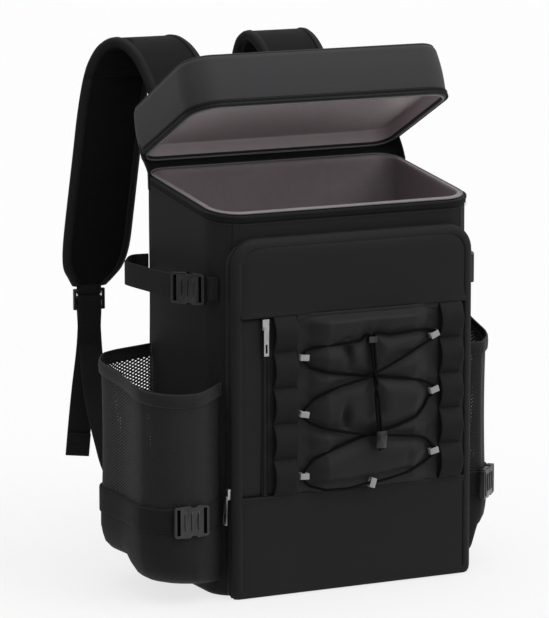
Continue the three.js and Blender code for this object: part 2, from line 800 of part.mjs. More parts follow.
// Columns of a side pocket in plan: from the back anchor round the two lobes to the corner seam,
// each with the point of the tub that it is measured from.
function sidePocketColumns(fill) {
  const lobeX = bodyWidth / 2 + lobeRadius;
  const lobe = (centreY, degrees) => {
    const angle = THREE.MathUtils.degToRad(degrees);
    return new THREE.Vector3(lobeX + lobeRadius * Math.cos(angle), centreY + lobeRadius * Math.sin(angle), 0);
  };
  const dent = new THREE.Vector3(lobeX + lobeRadius * 0.94, (lobeFrontY + lobeBackY) / 2, 0);
  const seat = gap + meshSeat + Math.min(1, 1.3 * (1 - fill)) * meshWall;
  const outline = [
    bodySide(1, sidePocketBack, seat),
    ...lobeBackAngles.map((degrees) => lobe(lobeBackY, degrees)),
    dent,
    ...lobeFrontAngles.map((degrees) => lobe(lobeFrontY, degrees)),
    bodySide(1, sidePocketFront, seat),
  ];
  return outline.map((full, i) => {
    const y = sidePocketBack + (sidePocketFront - sidePocketBack) * i / (outline.length - 1);
    const base = bodySide(1, y, seat);
    return { base, point: base.clone().lerp(full, i % (outline.length - 1) ? fill : 1) };
  });
}

function hemHeightAt(y) {
  const back = lobeBackY + lobeRadius;
  const front = lobeFrontY - lobeRadius;
  const share = THREE.MathUtils.clamp((y - front) / (back - front), 0, 1);
  return sidePocketHemFront + (sidePocketHemBack - sidePocketHemFront) * share;
}

function buildSidePocket(label, side, fill) {
  const columns = sidePocketColumns(fill);
  const level = (out, height) => columns.map(({ base, point }) => {
    const place = base.clone().lerp(point, out);
    place.z = height(place.y);
    return place;
  });
  const wall = (grid, outset, thickness) => slab(
    onSide(side, offsetGrid(grid, outset + thickness)),
    onSide(side, offsetGrid(grid, outset)),
  );
  const foot = footSections.map(({ height, out }) => (
    level(out, () => sidePocketBottom + (footTop - gap / 2 - sidePocketBottom) * height)
  ));
  addPart(`${label}_pocket_foot`, wall(foot, -meshWall, meshWall), fabric);
  const net = [level(1, () => footTop + gap / 2), level(1, hemHeightAt)];
  addPart(`${label}_pocket_mesh`, wall(net, -meshWall, meshWall), mesh);
  const hem = [level(1, (y) => hemHeightAt(y) - hemHeight), level(1, (y) => hemHeightAt(y) + 1)];
  addPart(`${label}_pocket_hem`, wall(hem, gap, hemWall), webbing);
}

// Side-release buckle, fastened: length along X, face looking along -Y, width up Z
function buckle() {
  const halfLength = buckleLength / 2;
  const halfWidth = buckleWidth / 2;
  const upper = buckleOutline.map(({ along, width }) => new THREE.Vector2(along * halfLength, width * halfWidth));
  const lower = upper.map(({ x, y }) => new THREE.Vector2(x, -y)).reverse();
  const shape = new THREE.Shape([...upper, ...lower]);
  const plate = new THREE.ExtrudeGeometry(shape, { depth: buckleThickness, bevelEnabled: false });
  let fastened = toManifold(plate.rotateX(Math.PI / 2));
  [-1, 1].forEach((end) => {
    const slot = boxAt(buckleSlot, buckleThickness * 3, sideStrapWidth + 2, end * (halfLength - buckleRim));
    fastened = fastened.subtract(toManifold(slot));
  });
  return fromManifold(fastened);
}

// A buckle with its back plane through `seat`, lying along the strap's direction in plan
function placeBuckle(name, side, seat, along, z) {
  const part = addPart(name, buckle(), plastic);
  part.rotation.z = Math.atan2(along.y, side * along.x) + (side < 0 ? 0 : Math.PI);
  part.position.set(side * seat.x, seat.y, z);
}

// Upper side strap: from the back corner, standing off the tub, to its buckle and the front seam
function buildUpperStrap(label, side, out) {
  const place = ({ depth, out: share }) => (
    bodySide(1, bodyFront + depth * bodyDepth, gap + webbingWall / 2 + out * share)
  );
  const path = upperStrapPath.map(place);
  const [before, after] = path.slice(-3, -1);
  const middle = before.clone().lerp(after, 0.5);
  const along = after.clone().sub(before).normalize();
  const reach = (distance) => middle.clone().addScaledVector(along, distance);
  const half = buckleLength / 2;
  const raise = (points) => [-1, 1].map((sign) => points.map(({ x, y }) => (
    new THREE.Vector3(x, y, upperStrapZ + sign * sideStrapWidth / 2)
  )));
  const strap = (points) => {
    const grid = raise(points);
    return slab(onSide(side, offsetGrid(grid, webbingWall / 2)), onSide(side, offsetGrid(grid, -webbingWall / 2)));
  };
  addPart(`${label}_upper_strap`, strap([...path.slice(0, -3), reach(-half - buckleClear), reach(buckleLap - half)]), webbing);
  addPart(`${label}_upper_tab`, strap([reach(half - buckleLap), reach(half + buckleClear), path.at(-1)]), webbing);
  const outward = new THREE.Vector3(-along.y, along.x, 0);
  const seat = middle.clone().addScaledVector(outward, webbingWall / 2 + gap);
  placeBuckle(`${label}_upper_buckle`, side, seat, along, upperStrapZ);
}

// Lower side strap: over the side pocket's foot, with its buckle on the front lobe
function buildLowerStrap(label, side, fill) {
  const columns = sidePocketColumns(fill).map(({ point }) => point);
  const seatIndex = 2 + lobeBackAngles.length + lobeFrontAngles.indexOf(buckleAngle);
  const strap = (points) => {
    const grid = [-1, 1].map((sign) => points.map(({ x, y }) => (
      new THREE.Vector3(x, y, lowerStrapZ + sign * sideStrapWidth / 2)
    )));
    return slab(onSide(side, offsetGrid(grid, gap + webbingWall)), onSide(side, offsetGrid(grid, gap)));
  };
  addPart(`${label}_lower_strap`, strap(columns.slice(0, seatIndex)), webbing);
  addPart(`${label}_lower_tab`, strap(columns.slice(seatIndex + 1)), webbing);
  const [before, at, after] = columns.slice(seatIndex - 1, seatIndex + 2);
  const along = after.clone().sub(before).normalize();
  const outward = new THREE.Vector3(-along.y, along.x, 0);
  const drop = Math.min(at.clone().sub(before).dot(outward), at.clone().sub(after).dot(outward));
  const lift = Math.max(gap, 2 * gap + webbingWall - drop);
  const seat = at.clone().addScaledVector(outward, lift);
  placeBuckle(`${label}_lower_buckle`, side, seat, along, lowerStrapZ);
}

// Back panel and shoulder straps
const panelBack = bodyBack + gap + backPanelWall;

function buildBackPanel() {
  const height = backPanelHigh - backPanelLow;
  const panel = boxAt(backPanelWidth, backPanelWall, height, 0, bodyBack + gap + backPanelWall / 2,
    backPanelLow + height / 2);
  addPart('back_panel', panel, fabric);
}

function padPoint(section, lean) {
  return new THREE.Vector3(
    padAnchorX + lean * section.lean,
    panelBack + gap + padWall / 2 + padReach * section.reach,
    padEndZ + (padCrestZ - padEndZ) * section.height,
  );
}

function padAcross(section, lean) {
  const angle = THREE.MathUtils.degToRad(padTwist * section.lean * lean / leftPadLean);
  return new THREE.Vector3(Math.cos(angle), Math.sin(angle), 0);
}

function buildShoulderPad(label, side, lean) {
  const path = padSections.map((section) => padPoint(section, lean));
  const rings = padSections.map((section, i) => {
    const across = padAcross(section, lean);
    const previous = path[Math.max(i - 1, 0)];
    const next = path[Math.min(i + 1, path.length - 1)];
    const normal = new THREE.Vector3().subVectors(next, previous).cross(across).normalize();
    return padProfile.map(({ across: u, through: v }) => (
      path[i].clone().addScaledVector(across, u * section.width * padWidth / 2).addScaledVector(normal, v * padWall)
    ));
  });
  addPart(`${label}_shoulder_pad`, loft(onSide(side, rings)), fabric);
}

// Ladder lock at the pad's end with the loop that holds it, and the webbing through it: up from
// the tub's foot, over the middle bar and down again as the free tail
function buildStrapEnd(label, side, lean) {
  const last = padSections.at(-1);
  const end = padPoint(last, lean);
  const across = padAcross(last, lean);
  const back = new THREE.Vector3(-across.y, across.x, 0);
  const loopHole = frameBar + 2 * gap;
  const loopDepth = frameWall + 2 * gap;
  const top = padEndZ - 3 * gap - padLoopWall;
  const turn = Math.atan2(across.y, side * across.x);
  const place = (part, z) => {
    part.rotation.z = turn;
    part.position.set(side * end.x, end.y, z);
  };
  const outer = toManifold(boxAt(strapWebbingWidth, loopDepth + 2 * padLoopWall, loopHole + 2 * padLoopWall));
  const inner = toManifold(boxAt(strapWebbingWidth * 2, loopDepth, loopHole));
  place(addPart(`${label}_pad_loop`, fromManifold(outer.subtract(inner)), webbing), top - frameBar / 2);

  const slotWidth = strapWebbingWidth + frameSlack;
  const slots = [frameBar + frameSlot / 2, 2 * frameBar + frameSlot * 1.5];
  let frame = toManifold(boxAt(frameWidth, frameWall, 3 * frameBar + 2 * frameSlot, 0, 0,
    -(3 * frameBar + 2 * frameSlot) / 2));
  slots.forEach((depth) => {
    frame = frame.subtract(toManifold(boxAt(slotWidth, frameWall * 2, frameSlot, 0, 0, -depth)));
  });
  place(addPart(`${label}_ladder_lock`, fromManifold(frame), plastic), top);

  const clear = frameWall / 2 + gap + webbingWall / 2;
  const barTop = top - frameBar - frameSlot;
  const local = (behind, z) => end.clone().addScaledVector(back, behind).setZ(z);
  const frameEnd = top - 3 * frameBar - 2 * frameSlot - frameClear;
  const foot = new THREE.Vector3(lowerAnchorX, bodyBack + gap + webbingWall / 2, lowerAnchorZ);
  const start = local(clear, frameEnd);
  const rise = lowerWebbingPath.map(({ bow, behind, height }) => new THREE.Vector3(
    foot.x + (start.x - foot.x) * behind + webbingBow * bow,
    foot.y + (start.y - foot.y) * behind,
    foot.z + (start.z - foot.z) * height,
  ));
  const tail = local(-clear, tailEndZ).add(new THREE.Vector3(tailLean, -tailLean / 3, 0));
  const path = [
    foot,
    ...rise,
    start,
    local(clear, barTop - frameBar),
    local(clear, barTop + gap),
    local(clear - 1, barTop + gap + webbingWall / 2),
    local(1 - clear, barTop + gap + webbingWall / 2),
    local(-clear, barTop + gap),
    local(-clear, barTop - frameBar),
    local(-clear, frameEnd),
    tail,
  ];
  const spread = path.map((_, i) => {
    if (i > rise.length) {
      return across.clone().negate();
    }
    const tangent = new THREE.Vector3().subVectors(path[i + 1], path[Math.max(i - 1, 0)]);
    const facing = new THREE.Vector3(0, 1, 0).lerp(back, i / rise.length);
    return tangent.cross(facing).normalize();
  });
  const grid = bandGrid(path, spread, strapWebbingWidth);
  const half = webbingWall / 2;
  addPart(`${label}_strap_webbing`, slab(
    onSide(side, offsetGrid(grid, half)),
    onSide(side, offsetGrid(grid, -half)),
  ), webbing);
}

// How far the stretch panel stands out under the cord at x
function cordRest(x) {
  const edge = Math.min(x - stretchLeft, stretchRight - x) - stretchBorder;
  return stretchFront() - stretchBulge * THREE.MathUtils.clamp(edge / stretchSlope, 0, 1) - cordRadius - gap;
}

// Round cord through points close enough to be joined by straight runs
function tube(points, radius, sides) {
  const tangents = points.map((_, i) => {
    const next = points[Math.min(i + 1, points.length - 1)];
    return new THREE.Vector3().subVectors(next, points[Math.max(i - 1, 0)]).normalize();
  });
  let normal = new THREE.Vector3(0, 1, 0).cross(tangents[0]).normalize();
  const rings = points.map((point, i) => {
    normal = normal.clone().addScaledVector(tangents[i], -normal.dot(tangents[i])).normalize();
    const side = new THREE.Vector3().crossVectors(tangents[i], normal);
    return Array.from({ length: sides }, (_, k) => {
      const angle = 2 * Math.PI * k / sides;
      return point.clone().addScaledVector(normal, radius * Math.cos(angle))
        .addScaledVector(side, radius * Math.sin(angle));
    });
  });
  return loft(rings);
}

// Stretch cord: both ends rise from the lock through the top keeper, and the run between them
// zigzags down through the side keepers and back up. A leg's points are shares of the way from
// keeper to keeper, with the drop below the straight line; level 1 passes over level 0.
function buildCord() {
  const points = [];
  const reach = keeperHeight / 2 + cordLead;
  const through = ({ x, y, z }, downward) => {
    const ends = [1, -1].map((end) => new THREE.Vector3(x, y, z + end * reach));
    points.push(...(downward ? ends : ends.reverse()));
  };
  const leg = (from, to, level, shares) => shares.forEach(({ share, sag }) => {
    const x = from.x + (to.x - from.x) * share;
    const z = from.z + (to.z - from.z) * share + sag;
    const lifted = 1 - Math.abs(2 * share - 1) ** 3;
    points.push(new THREE.Vector3(x, cordRest(x) - level * cordLevel * lifted, z));
  });
  const strand = (offset, upward) => {
    const run = [
      new THREE.Vector3(cordLock.x + offset, cordLock.y, cordLock.z - lockHeight / 2 - strandLead),
      new THREE.Vector3(cordLock.x + offset, cordLock.y, cordLock.z + lockHeight / 2 + strandLead),
      new THREE.Vector3(topKeeper.x + offset, topKeeper.y, topKeeper.z - keeperHeight / 2 - strandLead),
      new THREE.Vector3(topKeeper.x + offset, topKeeper.y, topKeeper.z + reach),
      new THREE.Vector3(topKeeper.x + 3 * offset, topKeeper.y, topKeeper.z + reach + strandLead),
    ];
    points.push(...(upward ? run : run.reverse()));
  };
  strand(-strandOffset, true);
  leg(topKeeper, left1, 0, [{ share: 0.25, sag: 5 }, { share: 0.6, sag: 7 }, { share: 0.88, sag: 7 }]);
  through(left1, true);
  leg(left1, right2, 0, [{ share: 0.12, sag: -7 }, { share: 0.5, sag: -2 }, { share: 0.88, sag: 5 }]);
  through(right2, true);
  leg(right2, left3, 0, [{ share: 0.12, sag: -10 }, { share: 0.5, sag: -4 }, { share: 0.88, sag: 8 }]);
  through(left3, true);
  leg(left3, bottomKeeper, 0, [{ share: 0.2, sag: -8 }, { share: 0.6, sag: -5 }]);
  points.push(...[-1, 1].map((sign) => (
    new THREE.Vector3(bottomKeeper.x + sign * reach, bottomKeeper.y, bottomKeeper.z)
  )));
  leg(bottomKeeper, right3, 0, [{ share: 0.4, sag: -6 }, { share: 0.84, sag: -10 }]);
  through(right3, false);
  leg(right3, left2, 1, [{ share: 0.12, sag: 9 }, { share: 0.5, sag: 1 }, { share: 0.88, sag: -8 }]);
  through(left2, false);
  leg(left2, right1, 1, [{ share: 0.12, sag: 10 }, { share: 0.5, sag: 1 }, { share: 0.88, sag: -7 }]);
  through(right1, false);
  leg(right1, topKeeper, 0, [{ share: 0.2, sag: 9 }, { share: 0.6, sag: 8 }]);
  strand(strandOffset, false);
  const route = new THREE.CatmullRomCurve3(points, false, 'centripetal');
  const run = route.getPoints(2 * points.length);
  run.forEach((point) => {
    point.y = Math.min(point.y, cordRest(point.x));
  });
  addPart('bungee', tube(run, cordRadius, cordSides), webbing);
}

function buildCordLock() {
  const barrel = new THREE.CylinderGeometry(lockRadius, lockRadius, lockHeight, 12).rotateX(Math.PI / 2)
    .scale(1, lockDepth / (2 * lockRadius), 1);
  const bore = 2 * (cordRadius + lockRoom);
  const channel = boxAt(2 * strandOffset + bore, bore, lockHeight * 2);
  const part = addPart('cord_lock', fromManifold(toManifold(barrel).subtract(toManifold(channel))), plastic);
  part.position.set(cordLock.x, cordLock.y, cordLock.z);
}

buildTub();
buildLid();
buildHinge();
buildPocketGusset();
buildPocketPanel('base_panel', 0, baseSeam - gap / 2);
buildPocketPanel('middle_panel', baseSeam + gap / 2, upperSeam - gap / 2);
buildPocketPanel('upper_panel', upperSeam + gap / 2, pocketTop);
buildPocketZips();
buildSliders();
buildLadder('left_ladder', leftLadderX);
buildLadder('right_ladder', rightLadderX);
buildStretchPanel();
buildKeepers();
buildCordLock();
buildCord();
buildSidePocket('left', -1, leftPocketFill);
buildSidePocket('right', 1, rightPocketFill);
buildUpperStrap('left', -1, leftStrapOut);
buildUpperStrap('right', 1, rightStrapOut);
buildLowerStrap('left', -1, leftPocketFill);
buildLowerStrap('right', 1, rightPocketFill);
buildBackPanel();
buildShoulderPad('left', -1, leftPadLean);
buildShoulderPad('right', 1, rightPadLean);
buildStrapEnd('left', -1, leftPadLean);
buildStrapEnd('right', 1, rightPadLean);

export default pack;
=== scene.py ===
import bpy
import bmesh
import math
import numpy as np
from mathutils import Matrix, Vector


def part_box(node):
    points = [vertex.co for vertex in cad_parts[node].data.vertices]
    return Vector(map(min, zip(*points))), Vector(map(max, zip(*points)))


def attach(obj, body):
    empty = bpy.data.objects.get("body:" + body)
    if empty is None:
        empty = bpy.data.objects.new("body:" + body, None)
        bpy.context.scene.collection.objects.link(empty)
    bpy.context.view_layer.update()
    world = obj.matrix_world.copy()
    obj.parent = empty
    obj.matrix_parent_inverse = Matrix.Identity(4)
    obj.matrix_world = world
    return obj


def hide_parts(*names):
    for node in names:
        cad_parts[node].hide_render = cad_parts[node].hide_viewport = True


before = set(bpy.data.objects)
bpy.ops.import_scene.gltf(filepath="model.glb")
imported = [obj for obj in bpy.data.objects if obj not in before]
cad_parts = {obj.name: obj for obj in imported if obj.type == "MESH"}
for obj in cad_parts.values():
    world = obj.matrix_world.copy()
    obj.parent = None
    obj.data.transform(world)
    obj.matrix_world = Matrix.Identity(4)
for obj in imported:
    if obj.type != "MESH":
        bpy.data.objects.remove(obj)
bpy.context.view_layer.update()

# ---------------------------------------------------------------------------------------------
# Studio: a seamless pale floor under a soft box overhead, with a broad key light from high on the
# front right and a weak fill from the front. The camera stands low on the front left.


def linear(colour):
    """sRGB hex to linear: each channel is divided by 12.92 near black, otherwise raised to 2.4."""
    channels = [int(colour[i:i + 2], 16) / 255 for i in (1, 3, 5)]
    return [c / 12.92 if c <= 0.04045 else ((c + 0.055) / 1.055) ** 2.4 for c in channels] + [1.0]


def add_node(tree, kind, sockets=None, links=None, **settings):
    """A shader node with its settings, its socket values and the links that come into it."""
    node = tree.nodes.new("ShaderNode" + kind)
    for key, value in settings.items():
        setattr(node, key, value)
    for key, value in (sockets or {}).items():
        node.inputs[key].default_value = value
    for key, source in (links or {}).items():
        tree.links.new(source, node.inputs[key])
    return node


# Painted board, mostly lit through from below, so that only a pale contact shadow shows on it.
board = bpy.data.materials.new("matt_white_board")
board.use_nodes = True
for socket, value in (("Base Color", linear("#868686")), ("Emission Color", linear("#ffffff")),
                      ("Emission Strength", 0.74), ("Roughness", 0.9), ("Specular IOR Level", 0.1)):
    board.node_tree.nodes["Principled BSDF"].inputs[socket].default_value = value
floor_half = 30.0
floor_mesh = bpy.data.meshes.new("floor")
floor_mesh.from_pydata([(-floor_half, -floor_half, 0), (floor_half, -floor_half, 0),
                        (floor_half, floor_half, 0), (-floor_half, floor_half, 0)], [], [(0, 1, 2, 3)])
floor = bpy.data.objects.new("floor", floor_mesh)
floor.data.materials.append(board)
bpy.context.scene.collection.objects.link(floor)

# Soft box overhead: the sky is brightest at the top and falls off to the horizon, where the
# black cloth has little to mirror. Light from below is set by the sky too, not by the board.
world = bpy.data.worlds.new("studio")
world.use_nodes = True
sky = world.node_tree
sky_way = add_node(sky, "TexCoord")
sky_parts = add_node(sky, "SeparateXYZ", None, {0: sky_way.outputs["Generated"]})
sky_level = add_node(sky, "MapRange", {"To Min": 0.14, "To Max": 1.28}, {"Value": sky_parts.outputs["Z"]})
bounce = add_node(sky, "MapRange", {"From Min": -0.3, "From Max": 0.0, "To Min": 0.48, "To Max": 0.0},
                  {"Value": sky_parts.outputs["Z"]})
glow = add_node(sky, "Math", None, {0: sky_level.outputs["Result"], 1: bounce.outputs["Result"]},
                operation="ADD")
from_right = add_node(sky, "MapRange", {"From Min": -1.0, "To Min": 0.72, "To Max": 1.16},
                      {"Value": sky_parts.outputs["X"]})
sky_side = add_node(sky, "Math", None, {0: glow.outputs["Value"], 1: from_right.outputs["Result"]},
                    operation="MULTIPLY")
sky.links.new(sky_side.outputs["Value"], sky.nodes["Background"].inputs["Strength"])
sky.nodes["Background"].inputs["Color"].default_value = linear("#ffffff")
bpy.context.scene.world = world
bpy.context.scene.view_settings.view_transform = "Standard"
floor.visible_diffuse = False
floor.visible_glossy = False

for name, direction, strength, angle in [
    ("key_light", (0.75, -0.75, 0.95), 0.54, 50),
    ("front_fill", (0.2, -1.0, 0.15), 0.25, 60),
]:
    light = bpy.data.lights.new(name, "SUN")
    light.energy = strength
    light.angle = math.radians(angle)
    lamp = bpy.data.objects.new(name, light)
    lamp.rotation_mode = "QUATERNION"
    lamp.rotation_quaternion = Vector(direction).to_track_quat("Z", "Y")
    bpy.context.scene.collection.objects.link(lamp)

azimuth, elevation, distance = math.radians(-26.5), math.radians(10.1), 4.5
backwards = Vector((math.sin(azimuth) * math.cos(elevation),
                    -math.cos(azimuth) * math.cos(elevation), math.sin(elevation)))
camera = bpy.data.objects.new("camera", bpy.data.cameras.new("camera"))
camera.data.lens = 230.7
camera.data.shift_x = -0.0536
camera.data.shift_y = -0.0023
camera.data.clip_end = 100
camera.location = Vector((0, 0, 0.3)) + backwards * distance
camera.rotation_mode = "QUATERNION"
camera.rotation_quaternion = (-backwards).to_track_quat("-Z", "Y")
bpy.context.scene.collection.objects.link(camera)
bpy.context.scene.camera = camera

# ---------------------------------------------------------------------------------------------
# Tub: foam-backed walls in tight-woven polyester with a rubbery back coating, sewn up with a
# seam near each corner. It stands on its own, and the cloth lies almost smooth over the foam.

tub_width, tub_front, tub_back = 322.0, -102.0, 102.0
tub_front_radius, tub_back_radius, tub_wall = 36.0, 28.0, 8.0
tub_depth = tub_back - tub_front
side_span, side_swell = tub_depth - tub_front_radius - tub_back_radius, 5
rim_front, rim_back = 428.0, 454.0


def run(points):
    """Distance walked along a line of points up to each of them."""
    steps = np.linalg.norm(np.diff(points, axis=0), axis=1)
    return np.concatenate([[0.0], np.cumsum(steps)])


def at_run(points, stations):
    """Points at the given walked distances, by straight interpolation between the given ones."""
    walked = run(points)
    return np.stack([np.interp(stations, walked, points[:, k]) for k in range(points.shape[1])], axis=1)


def unit(vectors):
    """Each vector divided by its own length."""
    return vectors / np.maximum(np.linalg.norm(vectors, axis=-1, keepdims=True), 1e-9)


def flowing(points, count):
    """Catmull-Rom curve through points: between two of them, half of the sum of powers of the
    share t weighted by the four nearest points."""
    points = np.asarray(points, float)
    padded = np.concatenate([2 * points[:1] - points[1:2], points, 2 * points[-1:] - points[-2:-1]])
    place = np.linspace(0, len(points) - 1, count)
    start = np.minimum(place.astype(int), len(points) - 2)
    t = (place - start)[:, None]
    a, b, c, d = (padded[start + k] for k in range(4))
    return 0.5 * (2 * b + (c - a) * t + (2 * a - 5 * b + 4 * c - d) * t ** 2 + (3 * b - a - 3 * c + d) * t ** 3)


def rounded_plan(width, front, back, front_radius, back_radius, spacing, seams=()):
    """Round outline seen from above, walked from the middle of the back down the left side, along
    the front and up the right: arcs of a circle joined by straight runs, with outward normals.
    The stations are evenly spaced, and crowd together at each seam, a place on the walk."""
    half = width / 2
    arcs = []
    for x, y, radius, first in [(-half + back_radius, back - back_radius, back_radius, 90),
                                (-half + front_radius, front + front_radius, front_radius, 180),
                                (half - front_radius, front + front_radius, front_radius, 270),
                                (half - back_radius, back - back_radius, back_radius, 0)]:
        turn = np.radians(first + np.linspace(0, 90, 25))
        normal = np.stack([np.cos(turn), np.sin(turn)], axis=1)
        arcs.append(np.concatenate([np.array([x, y]) + radius * normal, normal], axis=1))
    middle = np.array([[0.0, back, 0.0, 1.0]])
    outline = np.concatenate([middle, *arcs, middle])
    walked = run(outline[:, :2])
    stations = np.arange(0, walked[-1], walked[-1] / round(walked[-1] / spacing))
    crowd = np.array([-3.2, -2.2, -1.4, -0.7, 0, 0.7, 1.4, 2.2, 3.2])
    for seam in seams:
        stations = stations[np.abs(stations - seam) > 4]
        stations = np.sort(np.concatenate([stations, seam + crowd]))
    plan = np.stack([np.interp(stations, walked, outline[:, k]) for k in range(4)], axis=1)
    plan[:, 2:] = unit(plan[:, 2:])
    return plan, stations


def seam_relief(stations, seams, depth=0.9, lip=0.5):
    """A sewn seam across the walk: a narrow bell-shaped groove between two low lips."""
    relief = np.zeros_like(stations)
    for seam in seams:
        away = np.abs(stations - seam)
        relief += lip * np.exp(-((away - 2.4) / 1.1) ** 2) - depth * np.exp(-(away / 0.8) ** 2)
    return relief


def mounted(name, mesh, nodes=()):
    """A piece for the mesh that rides on the pack and stands for the CAD nodes."""
    piece = bpy.data.objects.new(name, mesh)
    bpy.context.scene.collection.objects.link(piece)
    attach(piece, "root")
    if nodes:
        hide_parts(*nodes)
    return piece


def points_of(mesh):
    """Corner points of a mesh, one row each, in metres."""
    points = np.zeros(len(mesh.vertices) * 3)
    mesh.vertices.foreach_get("co", points)
    return points.reshape(-1, 3)


def faced_out(mesh, merge=0.0):
    """Faces of a closed mesh turned outwards, after points nearer than merge are joined."""
    shell = bmesh.new()
    shell.from_mesh(mesh)
    if merge:
        bmesh.ops.remove_doubles(shell, verts=shell.verts, dist=merge)
    bmesh.ops.recalc_face_normals(shell, faces=shell.faces)
    shell.to_mesh(mesh)
    shell.free()


def sew(name, grid, finish, nodes=(), around=False, wall=0.0, closed=False):
    """Piece over a grid of points in millimetres: quads between neighbours, each row closed on
    itself when around. Its UV map is the run along the rows and up the columns in metres. A wall
    gives the sheet that thickness behind its face. It rides on the pack and stands for the nodes."""
    grid = np.asarray(grid, float) * 0.001
    rows, columns = grid.shape[:2]
    index = np.arange(rows * columns).reshape(rows, columns)
    full = np.concatenate([grid, grid[:, :1]], axis=1) if around else grid
    if around:
        index = np.concatenate([index, index[:, :1]], axis=1)
    corners = [(slice(None, -1), slice(None, -1)), (slice(None, -1), slice(1, None)),
               (slice(1, None), slice(1, None)), (slice(1, None), slice(None, -1))]
    quads = np.stack([index[c] for c in corners], axis=-1).reshape(-1, 4)
    mesh = bpy.data.meshes.new(name)
    mesh.from_pydata(grid.reshape(-1, 3).tolist(), [], quads.tolist())
    across = np.zeros(full.shape[:2])
    across[:, 1:] = np.cumsum(np.linalg.norm(np.diff(full, axis=1), axis=2), axis=1)
    up = np.zeros(full.shape[:2])
    up[1:] = np.cumsum(np.linalg.norm(np.diff(full, axis=0), axis=2), axis=0)
    if around:
        across = np.broadcast_to(across.max(axis=0)[None, :], across.shape)
    layer = mesh.uv_layers.new(name="run")
    uv = np.stack([np.stack([across[c], up[c]], axis=-1) for c in corners], axis=2)
    layer.data.foreach_set("uv", uv.reshape(-1).astype(np.float32))
    if closed:
        faced_out(mesh, merge=1e-5)
    mesh.polygons.foreach_set("use_smooth", [True] * len(mesh.polygons))
    mesh.materials.append(finish)
    piece = mounted(name, mesh, nodes)
    if wall:
        thickness = piece.modifiers.new("wall", "SOLIDIFY")
        thickness.thickness = wall * 0.001
        thickness.offset = -1
    return piece


def finished(tree, shader, colour, dull, bump, **values):
    """Shader fed with a colour, a roughness and a normal where given; values set other sockets,
    with _ for each space in their names."""
    for node, output, socket in ((colour, "Result", "Base Color"), (dull, "Result", "Roughness"),
                                 (bump, "Normal", "Normal")):
        if node:
            tree.links.new(node.outputs[output], shader.inputs[socket])
    for socket, value in values.items():
        shader.inputs[socket.replace("_", " ")].default_value = value


def blank(name):
    """A new material with its node tree, its shader and its object coordinates."""
    material = bpy.data.materials.new(name)
    material.use_nodes = True
    tree = material.node_tree
    return material, tree, tree.nodes["Principled BSDF"], add_node(tree, "TexCoord").outputs["Object"]


def cloth(name, colour, light, thread, relief, rough, sheen=0.0, specular=0.3, mottle=14.0, ribs=1.0):
    """Woven cloth: warp and weft as two crossing waves on the piece's own run, the darker and the
    lighter shade mixed by slow noise, and worn lighter where the surface is sharply convex."""
    material, tree, shader, place = blank(name)
    run_map = add_node(tree, "UVMap", uv_map="run")
    waves = []
    for direction, scale in (("X", 1.0), ("Y", ribs)):
        waves.append(add_node(tree, "TexWave", {"Scale": scale * 0.314 / (thread * 0.001), "Distortion": 0.6,
                                                "Detail": 1.0, "Detail Scale": 2.0},
                              {"Vector": run_map.outputs["UV"]}, bands_direction=direction))
    weave = add_node(tree, "Math", None, {0: waves[0].outputs["Fac"], 1: waves[1].outputs["Fac"]},
                     operation="MAXIMUM")
    patches = add_node(tree, "TexNoise", {"Scale": mottle, "Detail": 5.0, "Roughness": 0.6},
                       {"Vector": place})
    grain = add_node(tree, "TexNoise", {"Scale": 900.0, "Detail": 2.0}, {"Vector": place})
    shade = add_node(tree, "Mix", {"A": linear(colour), "B": linear(light)},
                     {"Factor": patches.outputs["Fac"]}, data_type="RGBA")
    edges = add_node(tree, "NewGeometry")
    worn = add_node(tree, "MapRange", {"From Min": 0.53, "From Max": 0.62, "To Max": 0.35},
                    {"Value": edges.outputs["Pointiness"]})
    rubbed = add_node(tree, "Mix", {"B": linear(light)},
                      {"Factor": worn.outputs["Result"], "A": shade.outputs["Result"]}, data_type="RGBA")
    dull = add_node(tree, "MapRange", {"To Min": rough - 0.08, "To Max": rough + 0.08},
                    {"Value": patches.outputs["Fac"]})
    fuzz = add_node(tree, "Math", {1: 0.35}, {0: grain.outputs["Fac"], 2: weave.outputs["Value"]},
                    operation="MULTIPLY_ADD")
    bump = add_node(tree, "Bump", {"Strength": relief, "Distance": 0.0006}, {"Height": fuzz.outputs["Value"]})
    finished(tree, shader, rubbed, dull, bump, Specular_IOR_Level=specular, Sheen_Weight=sheen, Sheen_Roughness=0.5)
    return material


# Coated polyester pack cloth: dark charcoal, matt, with threads of about 0.5 mm drawn at 1.1 mm
# so that they show at all.
pack_cloth = cloth("coated_polyester_cloth", "#18181a", "#202022", 1.1, 0.22, 0.72, 0.04, 0.24)


def rim_height(y):
    """The rim rises in a straight line from the front to the back."""
    return rim_front + (rim_back - rim_front) * (y - tub_front) / (tub_back - tub_front)


def ring(plan, inset, height):
    """The outline moved inwards by the inset, at a height that may depend on how far back it is."""
    places = plan[:, :2] - plan[:, 2:] * np.reshape(inset, (-1, 1))
    level = height(plan[:, 1]) if callable(height) else np.broadcast_to(height, len(plan))
    return np.concatenate([places, level[:, None]], axis=1)


def towards_middle(circle, share, middle):
    """A ring shrunk towards a point by a share, for floors and crowns."""
    return middle + (circle - middle) * share


plan_probe, station_probe = rounded_plan(tub_width, tub_front, tub_back, tub_front_radius, tub_back_radius, 1)


def seam_station(x, y_low, y_high):
    """Where on the walk the outline passes the given x between two depths."""
    inside = (plan_probe[:, 1] >= y_low) & (plan_probe[:, 1] <= y_high)
    away = np.where(inside, np.abs(plan_probe[:, 0] - x), 1e9)
    return float(station_probe[np.argmin(away)])


